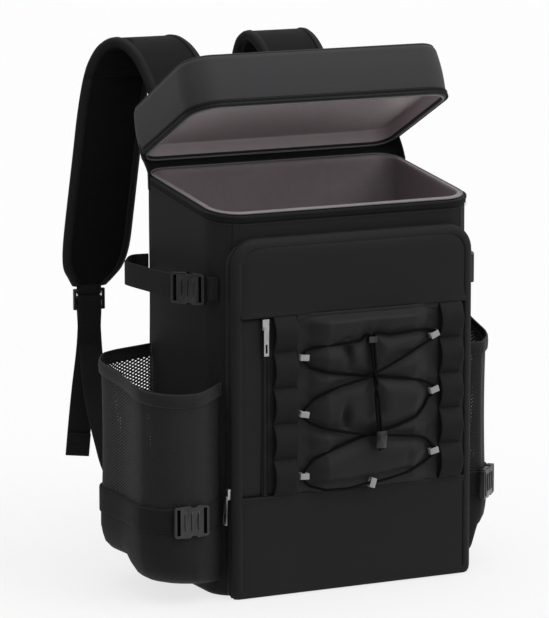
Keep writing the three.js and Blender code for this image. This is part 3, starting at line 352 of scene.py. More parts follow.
tub_seams = [seam_station(-142, -103, -66), seam_station(142, -103, -66),
             seam_station(-146, 75, 103), seam_station(146, 75, 103)]
tub_plan, tub_walk = rounded_plan(tub_width, tub_front, tub_back, tub_front_radius, tub_back_radius, 5, tub_seams)


def tub_wrinkles(plan, share):
    """Slow waves of slack in the cloth, added up from a few crossing sines and still at the rim
    and the foot; the side walls also swell by up to 5 mm half way between their corners."""
    x, y = plan[:, 0], plan[:, 1]
    height = share * 440
    wave = (0.5 * np.sin(y / 31 + height / 47 + 1.0) + 0.4 * np.sin(x / 43 - height / 29)
            + 0.35 * np.sin((x + y) / 19 + height / 61 + 2.0))
    calm = np.sin(np.pi * min(max((share - 0.03) / 0.9, 0), 1)) ** 0.7
    span = np.clip((y - tub_front - tub_front_radius) / side_span, 0, 1)
    swell = np.interp(share, [0, 0.1, 0.3, 0.6, 0.8, 0.94, 1], [0, 0.4, 0.9, 1, 0.6, 0, 0])
    side = np.abs(plan[:, 2]) > 0.999
    return 0.45 * calm * (wave - 0.2) + side_swell * swell * np.sin(np.pi * span) * side


relief = seam_relief(tub_walk, tub_seams)
foot_middle = np.array([0.0, 0.0, 0.0])
tub_rows = [towards_middle(ring(tub_plan, 6, 0.0), share, foot_middle) for share in (0, 0.5, 0.97)]
tub_rows += [ring(tub_plan, 6 - 6 * math.sin(t), 6 - 6 * math.cos(t)) for t in np.linspace(0, np.pi / 2, 6)[:-1]]
for share in np.linspace(0.014, 1, 56):
    out = tub_wrinkles(tub_plan, share) + relief * (share < 0.985)
    tub_rows.append(ring(tub_plan, -out, lambda y, share=share: rim_height(y) * share))
tub_rows += [ring(tub_plan, tub_wall, rim_height), ring(tub_plan, tub_wall, lambda y: rim_height(y) * 0.5),
             ring(tub_plan, tub_wall, 8.0), towards_middle(ring(tub_plan, tub_wall, 8.0), 0, foot_middle + [0, 0, 8])]
sew("tub", tub_rows, pack_cloth, ["body_shell"], around=True, closed=True)

# ---------------------------------------------------------------------------------------------
# Lining: wipe-clean laminated film over the foam, grey-brown, welded at the corners. Its edge is
# turned over the rim under a light piping cord.

lining_inset = 9.3


def laminated_film(name, dark, light):
    """Thin film over foam: soft dents about 25 mm apart with finer ones on them and a faint press
    pattern, glossier in the dents."""
    material, tree, shader, place = blank(name)
    dents = add_node(tree, "TexNoise", {"Scale": 26.0, "Detail": 4.0, "Roughness": 0.5, "Distortion": 0.8},
                     {"Vector": place})
    press = add_node(tree, "TexVoronoi", {"Scale": 420.0}, {"Vector": place})
    height = add_node(tree, "Math", {1: 0.05}, {0: press.outputs["Distance"], 2: dents.outputs["Fac"]},
                      operation="MULTIPLY_ADD")
    bump = add_node(tree, "Bump", {"Strength": 0.5, "Distance": 0.0025}, {"Height": height.outputs["Value"]})
    shade = add_node(tree, "Mix", {"A": linear(dark), "B": linear(light)}, {"Factor": dents.outputs["Fac"]},
                     data_type="RGBA")
    dull = add_node(tree, "MapRange", {"To Min": 0.34, "To Max": 0.5}, {"Value": dents.outputs["Fac"]})
    finished(tree, shader, shade, dull, bump, Specular_IOR_Level=0.4)
    return material


# Lining film: warm grey, wipe-clean.
film = laminated_film("laminated_peva_film", "#857b7e", "#978d90")
lining_plan = rounded_plan(tub_width - 2 * lining_inset, tub_front + lining_inset, tub_back - lining_inset,
                           tub_front_radius - lining_inset, tub_back_radius - lining_inset, 5)[0]


def lining_slack(plan, share):
    """Film that stands a little off the foam in long shallow folds, most half way up."""
    x, y = plan[:, 0], plan[:, 1]
    folds = np.sin(y / 17 + 2.2 * np.sin(share * 5)) + np.sin(x / 21 + 1.6 * np.sin(share * 7 + 1))
    return 0.9 + 0.7 * folds * np.sin(np.pi * share) ** 0.5


lining_rows = [ring(lining_plan, -5.6, lambda y: rim_height(y) + 1.0),
               ring(lining_plan, -4.2, lambda y: rim_height(y) + 2.4),
               ring(lining_plan, -1.6, lambda y: rim_height(y) + 2.6),
               ring(lining_plan, 0.0, lambda y: rim_height(y) + 1.4),
               ring(lining_plan, 0.6, lambda y: rim_height(y) - 1.0)]
lining_rows += [ring(lining_plan, lining_slack(lining_plan, share),
                     lambda y, share=share: 11 + (rim_height(y) - 14) * share)
                for share in np.linspace(0.995, 0.012, 44)]
floor_ring = ring(lining_plan, 4.0, 10.4)
lining_rows += [towards_middle(floor_ring, share, np.array([0, 0, 10.4])) for share in (1, 0.7, 0.35, 0)]
sew("tub_lining", lining_rows, film, ["body_lining"], around=True)


def section_sweep(path, ahead, normal, profile):
    """Points of a section carried along a path: each profile point (side, out) moved along the
    vectors square to the path."""
    side = unit(np.cross(ahead, normal))
    return (path[:, None, :] + profile[None, :, :1] * side[:, None, :] + profile[None, :, 1:] * normal[:, None, :])


def heading(path, loop=False):
    """Unit direction of travel along a path."""
    if loop:
        return unit(np.roll(path, -1, axis=0) - np.roll(path, 1, axis=0))
    return unit(np.gradient(path, axis=0))


def piped(name, path, radius, finish, loop=False, nodes=(), sides=10):
    """Round cord along a path: a circle carried along it, its ends drawn in to a point."""
    path = np.asarray(path, float)
    ahead = heading(path, loop)
    helper = np.where(np.abs(ahead[:, 2:]) < 0.9, [[0.0, 0.0, 1.0]], [[0.0, 1.0, 0.0]])
    normal = unit(np.cross(np.cross(ahead, helper), ahead))
    turn = 2 * np.pi * np.arange(sides) / sides
    grid = section_sweep(path, ahead, normal, radius * np.stack([np.cos(turn), np.sin(turn)], axis=1))
    if loop:
        grid = np.concatenate([grid, grid[:1]])
    else:
        grid = np.concatenate([path[None, :1].repeat(sides, 1), grid, path[None, -1:].repeat(sides, 1)])
    return sew(name, grid, finish, nodes, around=True, closed=True)


# Piping: grey woven tape folded round a cord, slightly lustrous.
piping_cloth = cloth("grey_piping_tape", "#7d7b7b", "#939191", 1.0, 0.3, 0.5, 0.1, 0.4)
rim_cord = ring(tub_plan, 3.0, lambda y: rim_height(y) + 1.9)
piped("rim_piping", rim_cord, 1.0, piping_cloth, loop=True)

# ---------------------------------------------------------------------------------------------
# Zip along the rim: woven black tape sewn round the outside of the tub from one back corner to
# the other, with nylon coil teeth along its free edge.

# Zip tape: narrow herringbone-woven polyester, black and matt.
tape_cloth = cloth("woven_zip_tape", "#0e0e0f", "#151516", 1.4, 0.35, 0.8, 0.0, 0.25)
# Nylon coil: black moulded filament with a dull gleam.
coil, coil_tree, coil_shader, coil_place = blank("nylon_zip_coil")
coil_noise = add_node(coil_tree, "TexNoise", {"Scale": 160.0, "Detail": 3.0}, {"Vector": coil_place})
coil_shade = add_node(coil_tree, "Mix", {"A": linear("#101011"), "B": linear("#1d1d1f")},
                      {"Factor": coil_noise.outputs["Fac"]}, data_type="RGBA")
coil_dull = add_node(coil_tree, "MapRange", {"To Min": 0.38, "To Max": 0.55}, {"Value": coil_noise.outputs["Fac"]})
finished(coil_tree, coil_shader, coil_shade, coil_dull, None)


def blocks(name, path, normal, pitch, size, finish, lift=0.0):
    """Small rounded blocks at an even pitch along a path, such as zip teeth or stitches: length
    along the path, width across it and height off the surface, in a mesh of ten faces each."""
    path = np.asarray(path, float)
    normal = np.broadcast_to(np.asarray(normal, float), path.shape)
    length = run(path)[-1]
    stations = np.arange(pitch / 2, length, pitch)
    places, walked = at_run(path, stations), run(path)
    out = unit(np.stack([np.interp(stations, walked, normal[:, k]) for k in range(3)], axis=1))
    ahead = unit(at_run(path, stations + 0.2) - at_run(path, stations - 0.2))
    side = unit(np.cross(ahead, out))
    long, wide, high = size
    outline = np.array([(-1, -0.5), (-0.6, -1), (0.6, -1), (1, -0.5), (1, 0.5), (0.6, 1), (-0.6, 1), (-1, 0.5)])
    base = np.concatenate([outline * [long / 2, wide / 2], np.zeros((8, 1))], axis=1)
    top = base * [0.7, 0.7, 1] + [0, 0, high]
    shape = np.concatenate([base, top])
    points = (places[:, None, :] + shape[None, :, :1] * ahead[:, None, :] + shape[None, :, 1:2] * side[:, None, :]
              + (shape[None, :, 2:] + lift) * out[:, None, :]) * 0.001
    faces = [[7, 6, 5, 4, 3, 2, 1, 0], list(range(8, 16))]
    faces += [[k, (k + 1) % 8, 8 + (k + 1) % 8, 8 + k] for k in range(8)]
    count = len(stations)
    mesh = bpy.data.meshes.new(name)
    mesh.from_pydata(points.reshape(-1, 3).tolist(), [],
                     [[v + 16 * n for v in face] for n in range(count) for face in faces])
    mesh.materials.append(finish)
    faced_out(mesh)
    return mounted(name, mesh)


def zip_part(plan, back_radius_run):
    """The stretch of an outline that the zip follows, without the corners at the back."""
    walked = run(plan[:, :2])
    return plan[(walked > back_radius_run) & (walked < walked[-1] - back_radius_run + 3)]


corner_run = tub_width / 2 - tub_back_radius + np.pi / 2 * tub_back_radius
zip_plan = zip_part(tub_plan, corner_run)
zip_rows = [ring(zip_plan, -out, lambda y, down=down: rim_height(y) - down)
            for down, out in [(8, 0.3), (7.6, 1.2), (5, 1.5), (2.5, 1.5), (0.2, 1.4), (0, 0.4)]]
sew("rim_zip_tape", zip_rows, tape_cloth, ["rim_zip"], wall=0.5)
teeth_line = ring(zip_plan, -1.3, lambda y: rim_height(y) - 1.4)
rim_normals = np.concatenate([zip_plan[:, 2:], np.zeros((len(zip_plan), 1))], axis=1)
tooth_pitch, tooth = 2.6, (1.5, 3.4, 1.0)
blocks("rim_zip_teeth", teeth_line, rim_normals, tooth_pitch, tooth, coil)
stitch_pitch, stitch = 3.4, (2.6, 0.6, 0.4)
# Lock-stitched thread, black and a little lustrous.
thread = cloth("bonded_nylon_thread", "#1c1c1e", "#2a2a2c", 0.8, 0.2, 0.5, 0.0, 0.5)
blocks("rim_zip_stitches", ring(zip_plan, -1.6, lambda y: rim_height(y) - 9.4), rim_normals, stitch_pitch, stitch,
       thread)

# ---------------------------------------------------------------------------------------------
# Lid: a deep foam tray in the same cloth, tipped back 26 degrees about the back rim. Its walls
# meet the top in a seam just below the edge, and its mouth carries the other half of the zip.

lid_width, lid_depth, lid_front_radius, lid_back_radius = 324.0, 184.0, 32.0, 26.0
lid_opening = math.radians(26)
lid_hinge_y, lid_hinge_z = 114.0, 463.0


def tipped(points):
    """Points built level, with the lid's back edge at the origin, turned up about that edge and
    moved to the back rim."""
    points = np.asarray(points, float)
    y = points[..., 1] * math.cos(lid_opening) + points[..., 2] * math.sin(lid_opening)
    z = -points[..., 1] * math.sin(lid_opening) + points[..., 2] * math.cos(lid_opening)
    return np.stack([points[..., 0], y + lid_hinge_y, z + lid_hinge_z], axis=-1)


def lid_height(y):
    """The tray is a little deeper at its front."""
    return 58 + 4 * -y / lid_depth


# Lid cloth: the pack cloth, painted paler to stand in for the stronger light falling on the lid's top, and a little
# glossier.
lid_cloth_painted_lit = cloth("polyester_lid_cloth_painted_lighter", "#2b2b2d", "#353537", 1.1, 0.2, 0.66, 0.12, 0.35)
lid_plan = rounded_plan(lid_width, -lid_depth, 0, lid_front_radius, lid_back_radius, 5)[0]


def lid_slack(plan, share):
    """Walls that bulge 1.6 mm half way up, with slow waves on top."""
    wave = np.sin(plan[:, 0] / 37 + 1) * 0.5 + np.sin(plan[:, 1] / 23 + share * 3) * 0.4
    return np.sin(np.pi * share) * (1.6 + 0.5 * wave)


lid_middle = np.array([0.0, -lid_depth / 2, 0.0])
lid_core, lid_panel_level = 30.0, 16.5


def lid_crown(share):
    """The top panel: level in the middle, pulled down to the seam in its last part, with two
    broad soft dents."""
    circle = towards_middle(ring(lid_plan, 9.0, lid_height), share, lid_middle + [0, 0, 60])
    x, y = circle[:, 0], circle[:, 1]
    circle[:, 2] += 1.4 * (1 - share ** 6) + 0.9 * (1 - share ** 2) * np.sin(x / 48 + 0.6) * np.sin(y / 39)
    return circle


lid_rows = [ring(lid_plan, 7.0, lid_core), ring(lid_plan, 7.0, 1.0), ring(lid_plan, 6.2, 0.0), ring(lid_plan, 0.8, 0.0),
            ring(lid_plan, 0.0, 0.8)]
lid_rows += [ring(lid_plan, -lid_slack(lid_plan, share), lambda y, share=share: (lid_height(y) - 9) * share)
             for share in np.linspace(0.04, 1, 20)]
lid_rows += [ring(lid_plan, 9 - 9 * math.cos(t), lambda y, t=t: lid_height(y) - 9 + 9 * math.sin(t))
             for t in np.linspace(0.12, np.pi / 2 - 0.1, 8)]
lid_rows += [lid_crown(share) for share in np.linspace(1, 0, 18)]
lid_rows += [towards_middle(ring(lid_plan, 7.0, lid_core), share, lid_middle + [0, 0, lid_core]) for share in (0, 1)]
sew("lid_tray", tipped(lid_rows), lid_cloth_painted_lit, ["lid_shell"], around=True, closed=True)
lid_edge_seam = ring(lid_plan, 3.4, lambda y: lid_height(y) - 1.8)
piped("lid_edge_welt", tipped(lid_edge_seam), 1.1, lid_cloth_painted_lit, loop=True, sides=8)

# Lid film: the same film as the lining, painted light grey to stand in for light bounced up under the lid.
lid_film_painted_bounce = laminated_film("laminated_lid_film_painted_bounce", "#c6babd", "#d6cacd")
panel_rows = []
for share in np.linspace(1, 0, 22):
    circle = towards_middle(ring(lid_plan, 7.2, lid_panel_level), share, lid_middle + [0, 0, lid_panel_level])
    x, y = circle[:, 0], circle[:, 1]
    circle[:, 2] += -2.6 * (1 - share ** 4) + 0.8 * np.sin(x / 33) * np.sin(y / 27 + 0.5) * (1 - share ** 3)
    panel_rows.append(circle)
panel_rows = [ring(lid_plan, 6.6, 1.0), ring(lid_plan, 7.4, 4.0), ring(lid_plan, 7.6, 14.0)] + panel_rows
sew("lid_panel_lining", tipped(panel_rows[::-1]), lid_film_painted_bounce, ["lid_panel"], around=True)
piped("lid_mouth_piping", tipped(ring(lid_plan, 4.2, -0.7)), 1.25, piping_cloth, loop=True, nodes=["lid_piping"])
lid_corner_run = lid_width / 2 - lid_back_radius + np.pi / 2 * lid_back_radius
lid_zip_plan = zip_part(lid_plan, lid_corner_run)
lid_tape_section = [(0, 0.4), (0.2, 1.4), (2.5, 1.6), (5, 1.8), (6.9, 1.7), (7.3, 0.8)]
lid_zip_rows = [ring(lid_zip_plan, -out, up) for up, out in lid_tape_section]
sew("lid_zip_tape", tipped(lid_zip_rows), tape_cloth, ["lid_zip"], wall=0.5)
lid_normals = np.concatenate([lid_zip_plan[:, 2:], np.zeros((len(lid_zip_plan), 1))], axis=1)
lid_normals = tipped(lid_normals) - [0, lid_hinge_y, lid_hinge_z]
blocks("lid_zip_teeth", tipped(ring(lid_zip_plan, -1.4, 1.4)), lid_normals, tooth_pitch, tooth, coil)
blocks("lid_zip_stitches", tipped(ring(lid_zip_plan, -1.9, 5.6)), lid_normals, stitch_pitch, stitch, thread)

# ---------------------------------------------------------------------------------------------
# Hinge: the back wall's cloth carried on up to the lid, with a soft gusset round each corner.


def hinge_part(plan):
    """The back of an outline from the right side round to the left side, corners included."""
    walked = run(plan[:, :2])
    late = plan[walked > walked[-1] - corner_run]
    return np.concatenate([late, plan[walked <= corner_run]])


hinge_edges = [ring(hinge_part(plan), 0, 0.0) for plan in (tub_plan, lid_plan)]
hinge_low, hinge_high = (at_run(edge, np.linspace(0, 1, 90) * run(edge)[-1]) for edge in hinge_edges)
hinge_out_low, hinge_out_high = (-unit(np.stack([-heading(edge)[:, 1], heading(edge)[:, 0], np.zeros(90)], axis=1))
                                 for edge in (hinge_low, hinge_high))


def hinge_row(points, out, height, off):
    """A row of the hinge cloth: the outline moved outwards, at a height."""
    row = points + out * off
    row[:, 2] = height(points[:, 1]) if callable(height) else height
    return row


foot_row = hinge_row(hinge_low, hinge_out_low, lambda y: rim_height(y) - 16, 0.9)
bend_low = hinge_row(hinge_low, hinge_out_low, lambda y: rim_height(y) + 2.8, 1.4)
bend_high = tipped(hinge_row(hinge_high, hinge_out_high, 0.0, 1.4))
head_row = tipped(hinge_row(hinge_high, hinge_out_high, 16.0, 1.2))
hinge_rows = [foot_row, foot_row * 0.5 + bend_low * 0.5]
for share in np.linspace(0, 1, 9):
    row = bend_low * (1 - share) + bend_high * share
    row[:, 1] -= 1.2 * math.sin(math.pi * share)
    hinge_rows.append(row)
hinge_rows += [bend_high * 0.5 + head_row * 0.5, head_row]
sew("lid_hinge_cloth", hinge_rows, pack_cloth, ["lid_hinge"], wall=1.4)

# ---------------------------------------------------------------------------------------------
# Front pocket: a gusset stands the panels 15 mm off the tub, with a welt at each of its edges and
# the pocket's zip between them. The outline is a tall panel with wide corners at the top.

pocket_width, pocket_top, pocket_radius, pocket_face = 296.0, 401.0, 28, -117.0
base_seam, upper_seam = pocket_top * 0.284, pocket_top * 0.793
pocket_plan = rounded_plan(pocket_width, 0, pocket_top, 8, pocket_radius, 4)[0]


def pocket_ring(plan, out, y):
    """The pocket's outline moved outwards, at a depth; it never dips under the floor."""
    height = np.maximum(plan[:, 1] + plan[:, 3] * out, 0.2 + 0.12 * max(-out, 0))
    return np.stack([plan[:, 0] + plan[:, 2] * out, np.broadcast_to(y, len(plan)), height], axis=1)


def tub_front_at(x):
    """How far forward the tub's face is, falling back round its corners."""
    beyond = np.maximum(np.abs(x) - (tub_width / 2 - tub_front_radius), 0)
    return tub_front + tub_front_radius - np.sqrt(np.maximum(tub_front_radius ** 2 - beyond ** 2, 1))


gusset_profile = [(0.2, -103.6), (1.7, -104.2), (2.1, -105.2), (1.4, -106.2), (0.4, -106.6), (0.3, -109.4),
                  (0.9, -110.0), (1.8, -110.8), (1.9, -112.0), (1.0, -113.4), (-0.8, -115.2), (-3.0, -116.6),
                  (-5.6, -117.4), (-7.4, -117.5), (-9.5, -116.6)]
gusset_rows = [pocket_ring(pocket_plan, 0.0, tub_front_at(pocket_plan[:, 0]) - 0.3)]
gusset_rows += [pocket_ring(pocket_plan, out, y) for out, y in gusset_profile]
sew("pocket_side_band", gusset_rows, pack_cloth, ["pocket_gusset"], around=True, wall=1.2)


def outline_above(plan, level):
    """The outline from its left side at a level, over the top, to its right side."""
    closed = np.concatenate([plan, plan[:1]])
    walked = run(closed[:, :2])
    left = plan[(plan[:, 0] < 0) & (plan[:, 1] > level)][::-1]
    right = plan[(plan[:, 0] >= 0) & (plan[:, 1] > level)]
    order = np.argsort(-walked[:-1][(plan[:, 0] >= 0) & (plan[:, 1] > level)])
    return np.concatenate([left, right[order]])


zip_line = outline_above(pocket_plan, base_seam)
zip_out = np.stack([zip_line[:, 2], np.zeros(len(zip_line)), zip_line[:, 3]], axis=1)
sew("pocket_zip_tape", [pocket_ring(zip_line, 0.7, y) for y in (-109.6, -108, -106.4)], tape_cloth, ["pocket_zip"],
    wall=0.4)
blocks("pocket_zip_teeth", pocket_ring(zip_line, 0.8, -108.0), zip_out, 2.4, (1.5, 3.0, 1.1), coil)


def pocket_panel(name, low, high, crown, lip_low, lip_high, node):
    """A sewn front panel over a grid of width and height: crowned in the middle, rounded off at
    its sides, and standing proud of the next one where its edge laps over it."""
    inset = 7.6
    v = np.linspace(0, 1, 40)[:, None]
    u = np.sin(np.linspace(-1, 1, 90) * np.pi / 2)[None, :] * 0.6 + np.linspace(-1, 1, 90)[None, :] * 0.4
    z = low + (high - low) * v
    radius = pocket_radius - inset
    over = np.clip(z - (pocket_top - pocket_radius), 0, radius)
    half = pocket_width / 2 - inset - (radius - np.sqrt(np.maximum(radius ** 2 - over ** 2, 0)))
    x = u * half
    swell = (1 - np.abs(u) ** 8) * (1 - np.abs(2 * v - 1) ** 8)
    slack = 0.35 * np.sin(x / 41 + z / 57) + 0.25 * np.sin(x / 23 - z / 31 + 1)
    y = pocket_face - 0.4 - (crown + slack) * swell + 1.6 * np.abs(u) ** 24
    y = y - lip_low * np.exp(-v * (high - low) / 5) - lip_high * np.exp(-(1 - v) * (high - low) / 5)
    grid = np.stack(np.broadcast_arrays(x, y, z), axis=-1)
    return sew(name, grid, pack_cloth, [node], wall=2.0)


pocket_panel("upper_front_panel", upper_seam - 1.5, pocket_top - 7.4, 2.6, 3.2, 0, "upper_panel")
pocket_panel("middle_front_panel", base_seam + 0.3, upper_seam - 0.3, 0.0, -2.2, -2.6, "middle_panel")
pocket_panel("base_front_panel", 1.5, base_seam + 1.2, 1.2, 0, 1.6, "base_panel")
forward = np.array([0.0, -1.0, 0.0])
half_front = pocket_width / 2 - 9
for name, height, out in (("upper_panel_stitches", upper_seam + 3.4, 1.9),
                          ("base_panel_stitches", base_seam - 3.6, 1.4)):
    line = np.array([[x, pocket_face - 0.4 - out, height] for x in np.linspace(-half_front, half_front, 60)])
    blocks(name, line, forward, 3.4, (2.6, 0.6, 0.5), thread)

# Upright zip of the hidden pouch behind the left ladder: tape on both sides of a closed coil.
left_ladder_x, ladder_half, pouch_gap = -pocket_width * 0.297, 14, 10
pouch_x = left_ladder_x - ladder_half - pouch_gap
pouch_rows = [[(pouch_x + x, pocket_face - 0.5 - up, z) for x, up in
               [(-4.4, 0.2), (-3.6, 0.7), (-1.8, 0.5), (0, 0.3), (1.8, 0.5), (3.6, 0.7), (4.4, 0.2)]]
              for z in np.linspace(base_seam + 1, upper_seam - 1, 30)]
sew("pouch_zip_tape", pouch_rows, tape_cloth, ["pouch_zip"], wall=0.4)
pouch_line = np.array([[pouch_x, pocket_face - 0.9, z] for z in np.linspace(base_seam + 2, upper_seam - 3, 9)])
blocks("pouch_zip_teeth", pouch_line, forward, 2.4, (1.5, 4.4, 1.2), coil)

# ---------------------------------------------------------------------------------------------
# Hard fittings: moulded and die-cast pieces, each rounded off along its edges as the mould
# leaves it.


def fitting(node, finish, rounding, segments=2):
    """The node's own solid, joined up, with its edges rounded."""
    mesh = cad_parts[node].data.copy()
    mesh.name = node + "_moulded"
    joined = bmesh.new()
    joined.from_mesh(mesh)
    bmesh.ops.remove_doubles(joined, verts=joined.verts, dist=1e-5)
    bmesh.ops.dissolve_limit(joined, angle_limit=0.01, verts=joined.verts, edges=joined.edges)
    joined.to_mesh(mesh)
    joined.free()
    mesh.materials.clear()
    mesh.materials.append(finish)
    piece = mounted(node + "_moulded", mesh, [node])
    edge = piece.modifiers.new("rounding", "BEVEL")
    edge.width = rounding * 0.001
    edge.segments = segments
    edge.limit_method = "ANGLE"
    edge.angle_limit = math.radians(35)
    edge.harden_normals = True
    mesh.polygons.foreach_set("use_smooth", [True] * len(mesh.polygons))
    return piece


def moulded(name, dark, light, rough, grain, relief, metallic=0.0, coat=0.0):
    """Cast or moulded surface: fine spark-eroded grain, faint flow shades and rubbed edges."""
    material, tree, shader, place = blank(name)
    flow = add_node(tree, "TexNoise", {"Scale": 60.0, "Detail": 4.0}, {"Vector": place})
    spark = add_node(tree, "TexNoise", {"Scale": 1000 / grain, "Detail": 2.0}, {"Vector": place})
    shade = add_node(tree, "Mix", {"A": linear(dark), "B": linear(light)}, {"Factor": flow.outputs["Fac"]},
                     data_type="RGBA")
    edges = add_node(tree, "NewGeometry")
    worn = add_node(tree, "MapRange", {"From Min": 0.54, "From Max": 0.66, "To Max": 0.4},
                    {"Value": edges.outputs["Pointiness"]})
    rubbed = add_node(tree, "Mix", {"B": linear(light)}, {"Factor": worn.outputs["Result"],
                                                          "A": shade.outputs["Result"]}, data_type="RGBA")
    dull = add_node(tree, "MapRange", {"To Min": rough - 0.06, "To Max": rough + 0.08}, {"Value": flow.outputs["Fac"]})
    bump = add_node(tree, "Bump", {"Strength": relief, "Distance": 0.0002}, {"Height": spark.outputs["Fac"]})
    finished(tree, shader, rubbed, dull, bump, Metallic=metallic, Coat_Weight=coat)
    return material


# Acetal: hard, black, satin. Keepers are the same plastic in light grey. Pulls are die-cast zinc
# with a satin nickel finish.
acetal = moulded("black_acetal", "#101011", "#1f1f21", 0.3, 0.5, 0.1, coat=0.5)
grey_acetal = moulded("grey_acetal", "#8c8c8c", "#b4b4b4", 0.42, 0.5, 0.12)
nickel = moulded("satin_nickel_zinc", "#a9a9aa", "#d2d2d3", 0.3, 0.6, 0.1, metallic=1.0)
# The pocket slider's pull has swung round on its ring, so that its broad face looks forwards.
for node, swing in (("pocket_slider", 38), ("pouch_slider", 0)):
    slider = fitting(node, nickel, 0.5)
    spots = points_of(slider.data)
    hanging = spots[:, 2] < spots[:, 2].max() - 0.0125
    pivot = spots[hanging].mean(axis=0)
    cosine, sine = math.cos(math.radians(swing)), math.sin(math.radians(swing))
    away = spots[hanging] - pivot
    spots[hanging] = pivot + np.stack([away[:, 0] * cosine - away[:, 1] * sine, away[:, 0] * sine + away[:, 1] * cosine,
                                       away[:, 2]], axis=1) + [-0.0012 * (swing > 0), 0, 0]
    slider.data.vertices.foreach_set("co", spots.reshape(-1))

# ---------------------------------------------------------------------------------------------
# Webbing ladders: one strip of ribbed polyester webbing each, tacked down across its width
# between five loops that stand off the panel.


def belt(name, path, facing, width, wall, finish, nodes=()):
    """Webbing carried along a path: a flat section with rounded edges, its ends closed. The
    facing is the way its face looks at each point, made square to the path."""
    path = np.asarray(path, float)
    ahead = heading(path)
    facing = np.broadcast_to(np.asarray(facing, float), path.shape)
    out = unit(facing - ahead * np.sum(ahead * facing, axis=1, keepdims=True))
    half, thick = width / 2, wall / 2
    face = np.linspace(-0.94, 0.94, 7)
    profile = [(u * half, thick) for u in face] + [(half, thick * 0.5), (half, -thick * 0.5)]
    profile += [(u * half, -thick) for u in face[::-1]] + [(-half, -thick * 0.5), (-half, thick * 0.5)]
    grid = section_sweep(path, ahead, out, np.array(profile))
    first, last = (np.repeat(path[None, k], len(profile), axis=0)[None] for k in (0, -1))
    return sew(name, np.concatenate([first, grid, last]), finish, nodes, around=True, closed=True)


webbing_width, webbing_wall = 28, 1.8
# Webbing: ribbed polyester, black and matt.
webbing = cloth("polyester_webbing", "#101011", "#19191b", 1.9, 0.4, 0.7, 0.03, 0.24, mottle=40.0, ribs=0.45)
loops, loop_bulge = 5, 9.0
ladders = {"left": left_ladder_x, "right": pocket_width * 0.402}
for label, x in ladders.items():
    share = np.linspace(0, 1, 30 * loops + 1)
    height = base_seam + 1.2 + (upper_seam - base_seam - 2.4) * share
    loop = np.abs(np.sin(np.pi * loops * share)) ** 0.85
    path = np.stack([np.full_like(share, x), pocket_face - 1.5 - loop_bulge * loop, height], axis=1)
    belt(f"{label}_ladder_webbing", path, forward, webbing_width, 1.7, webbing, [f"{label}_ladder"])
    tacks = base_seam + 1.2 + (upper_seam - base_seam - 2.4) * np.arange(loops + 1) / loops
    for number, z in enumerate(tacks[1:-1]):
        for offset in (-1.3, 1.3):
            line = np.array([[x + dx, pocket_face - 3.2, z + offset] for dx in np.linspace(-12.5, 12.5, 6)])
            blocks(f"{label}_ladder_tack_{number}_{'low' if offset < 0 else 'high'}", line, forward, 1.9,
                   (1.7, 0.8, 0.5), thread)

# ---------------------------------------------------------------------------------------------
# Stretch panel with its lacing: thin stretch cloth gathered between the ladders, pressed in
# under an elastic cord that runs through seven keepers to a spring lock.

panel_left = ladders["left"] + ladder_half + 1
panel_right = ladders["right"] - ladder_half - 1
# Shock cord: rubber strands in a tight black braid.
braid = cloth("braided_elastic_cord", "#020202", "#060606", 1.2, 0.5, 0.7, 0.0, 0.12, mottle=60.0)
cord_radius, keeper_half = 1.5, 4.5


def middle_of(node):
    """Middle of a CAD node in millimetres."""
    low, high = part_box(node)
    return np.array(low + high) * 500


def smooth_step(low, high, value):
    """0 below low, 1 above high, and a smooth cubic between."""
    t = np.clip((value - low) / (high - low), 0, 1)
    return t * t * (3 - 2 * t)


def cord_depth(x):
    """Where the cord's middle lies: on the stretch panel, which falls back towards its sides."""
    from_side = np.minimum(x - panel_left, panel_right - x)
    return pocket_face - 1.9 - 9 * np.clip((from_side - 14) / 20, 0, 1) - cord_radius - 0.3


# Each leg of the lacing in the order it is threaded: the two keepers, whether it passes over the
# others, and shares of the way with the rise above the straight line, read off.
legs = [("top", "left_1", 0, [(0.16, 2), (0.4, 4), (0.81, 7.5), (0.94, 7)]),
        ("left_1", "right_2", 0, [(0.06, -10), (0.16, -10), (0.39, -4.5), (0.56, 0), (0.75, 5), (0.9, 7)]),
        ("right_2", "left_3", 0, [(0.04, -6), (0.07, -12), (0.15, -15), (0.31, -10), (0.47, -1), (0.59, 4.5),
                                  (0.76, 10.5), (0.93, 12)]),
        ("left_3", "bottom", 0, [(0.09, -11), (0.3, -13), (0.64, -9)]),
        ("bottom", "right_3", 0, [(0.23, -4), (0.57, -8), (0.85, -8)]),
        ("right_3", "left_2", 1, [(0.05, 11), (0.14, 12), (0.32, 6), (0.48, 0), (0.68, -6), (0.87, -9.5), (0.95, -8)]),
        ("left_2", "right_1", 1, [(0.07, 11), (0.24, 11), (0.44, 2.5), (0.58, 0.5), (0.72, 0), (0.92, -3)]),
        ("right_1", "top", 0, [(0.1, 6), (0.33, 7), (0.71, 4)])]
lock, top = middle_of("cord_lock"), middle_of("keeper_top")
strands = []
for sign in (-1, 1):
    share = np.linspace(0, 1, 21)
    turn = 2 * np.pi * smooth_step(0.4, 0.75, share)
    strand = lock + [0, 0, -12.5] + (top - lock + [0, 0, 12.5 + keeper_half]) * share[:, None]
    strand[:, 0] += sign * 1.8 * np.cos(turn)
    strand[:, 1] -= sign * 1.8 * np.sin(turn)
    strands.append(strand)
route = [*strands[0], top + [-5.4, 0, 7.5]]
for start, end, over, rises in legs:
    first, last = middle_of("keeper_" + start), middle_of("keeper_" + end)
    for share, rise in rises:
        x, z = (first + (last - first) * share)[[0, 2]]
        lifted = over * 3.6 * (1 - abs(2 * share - 1) ** 3)
        route.append([x, cord_depth(x) - lifted, z + rise])
    through = np.array({"bottom": [1, 0, 0], "right_3": [0, 0, 1], "left_2": [0, 0, 1],
                        "right_1": [0, 0, 1]}.get(end, [0, 0, -1]))
    if end != "top":
        route += [last - keeper_half * through, last + keeper_half * through]
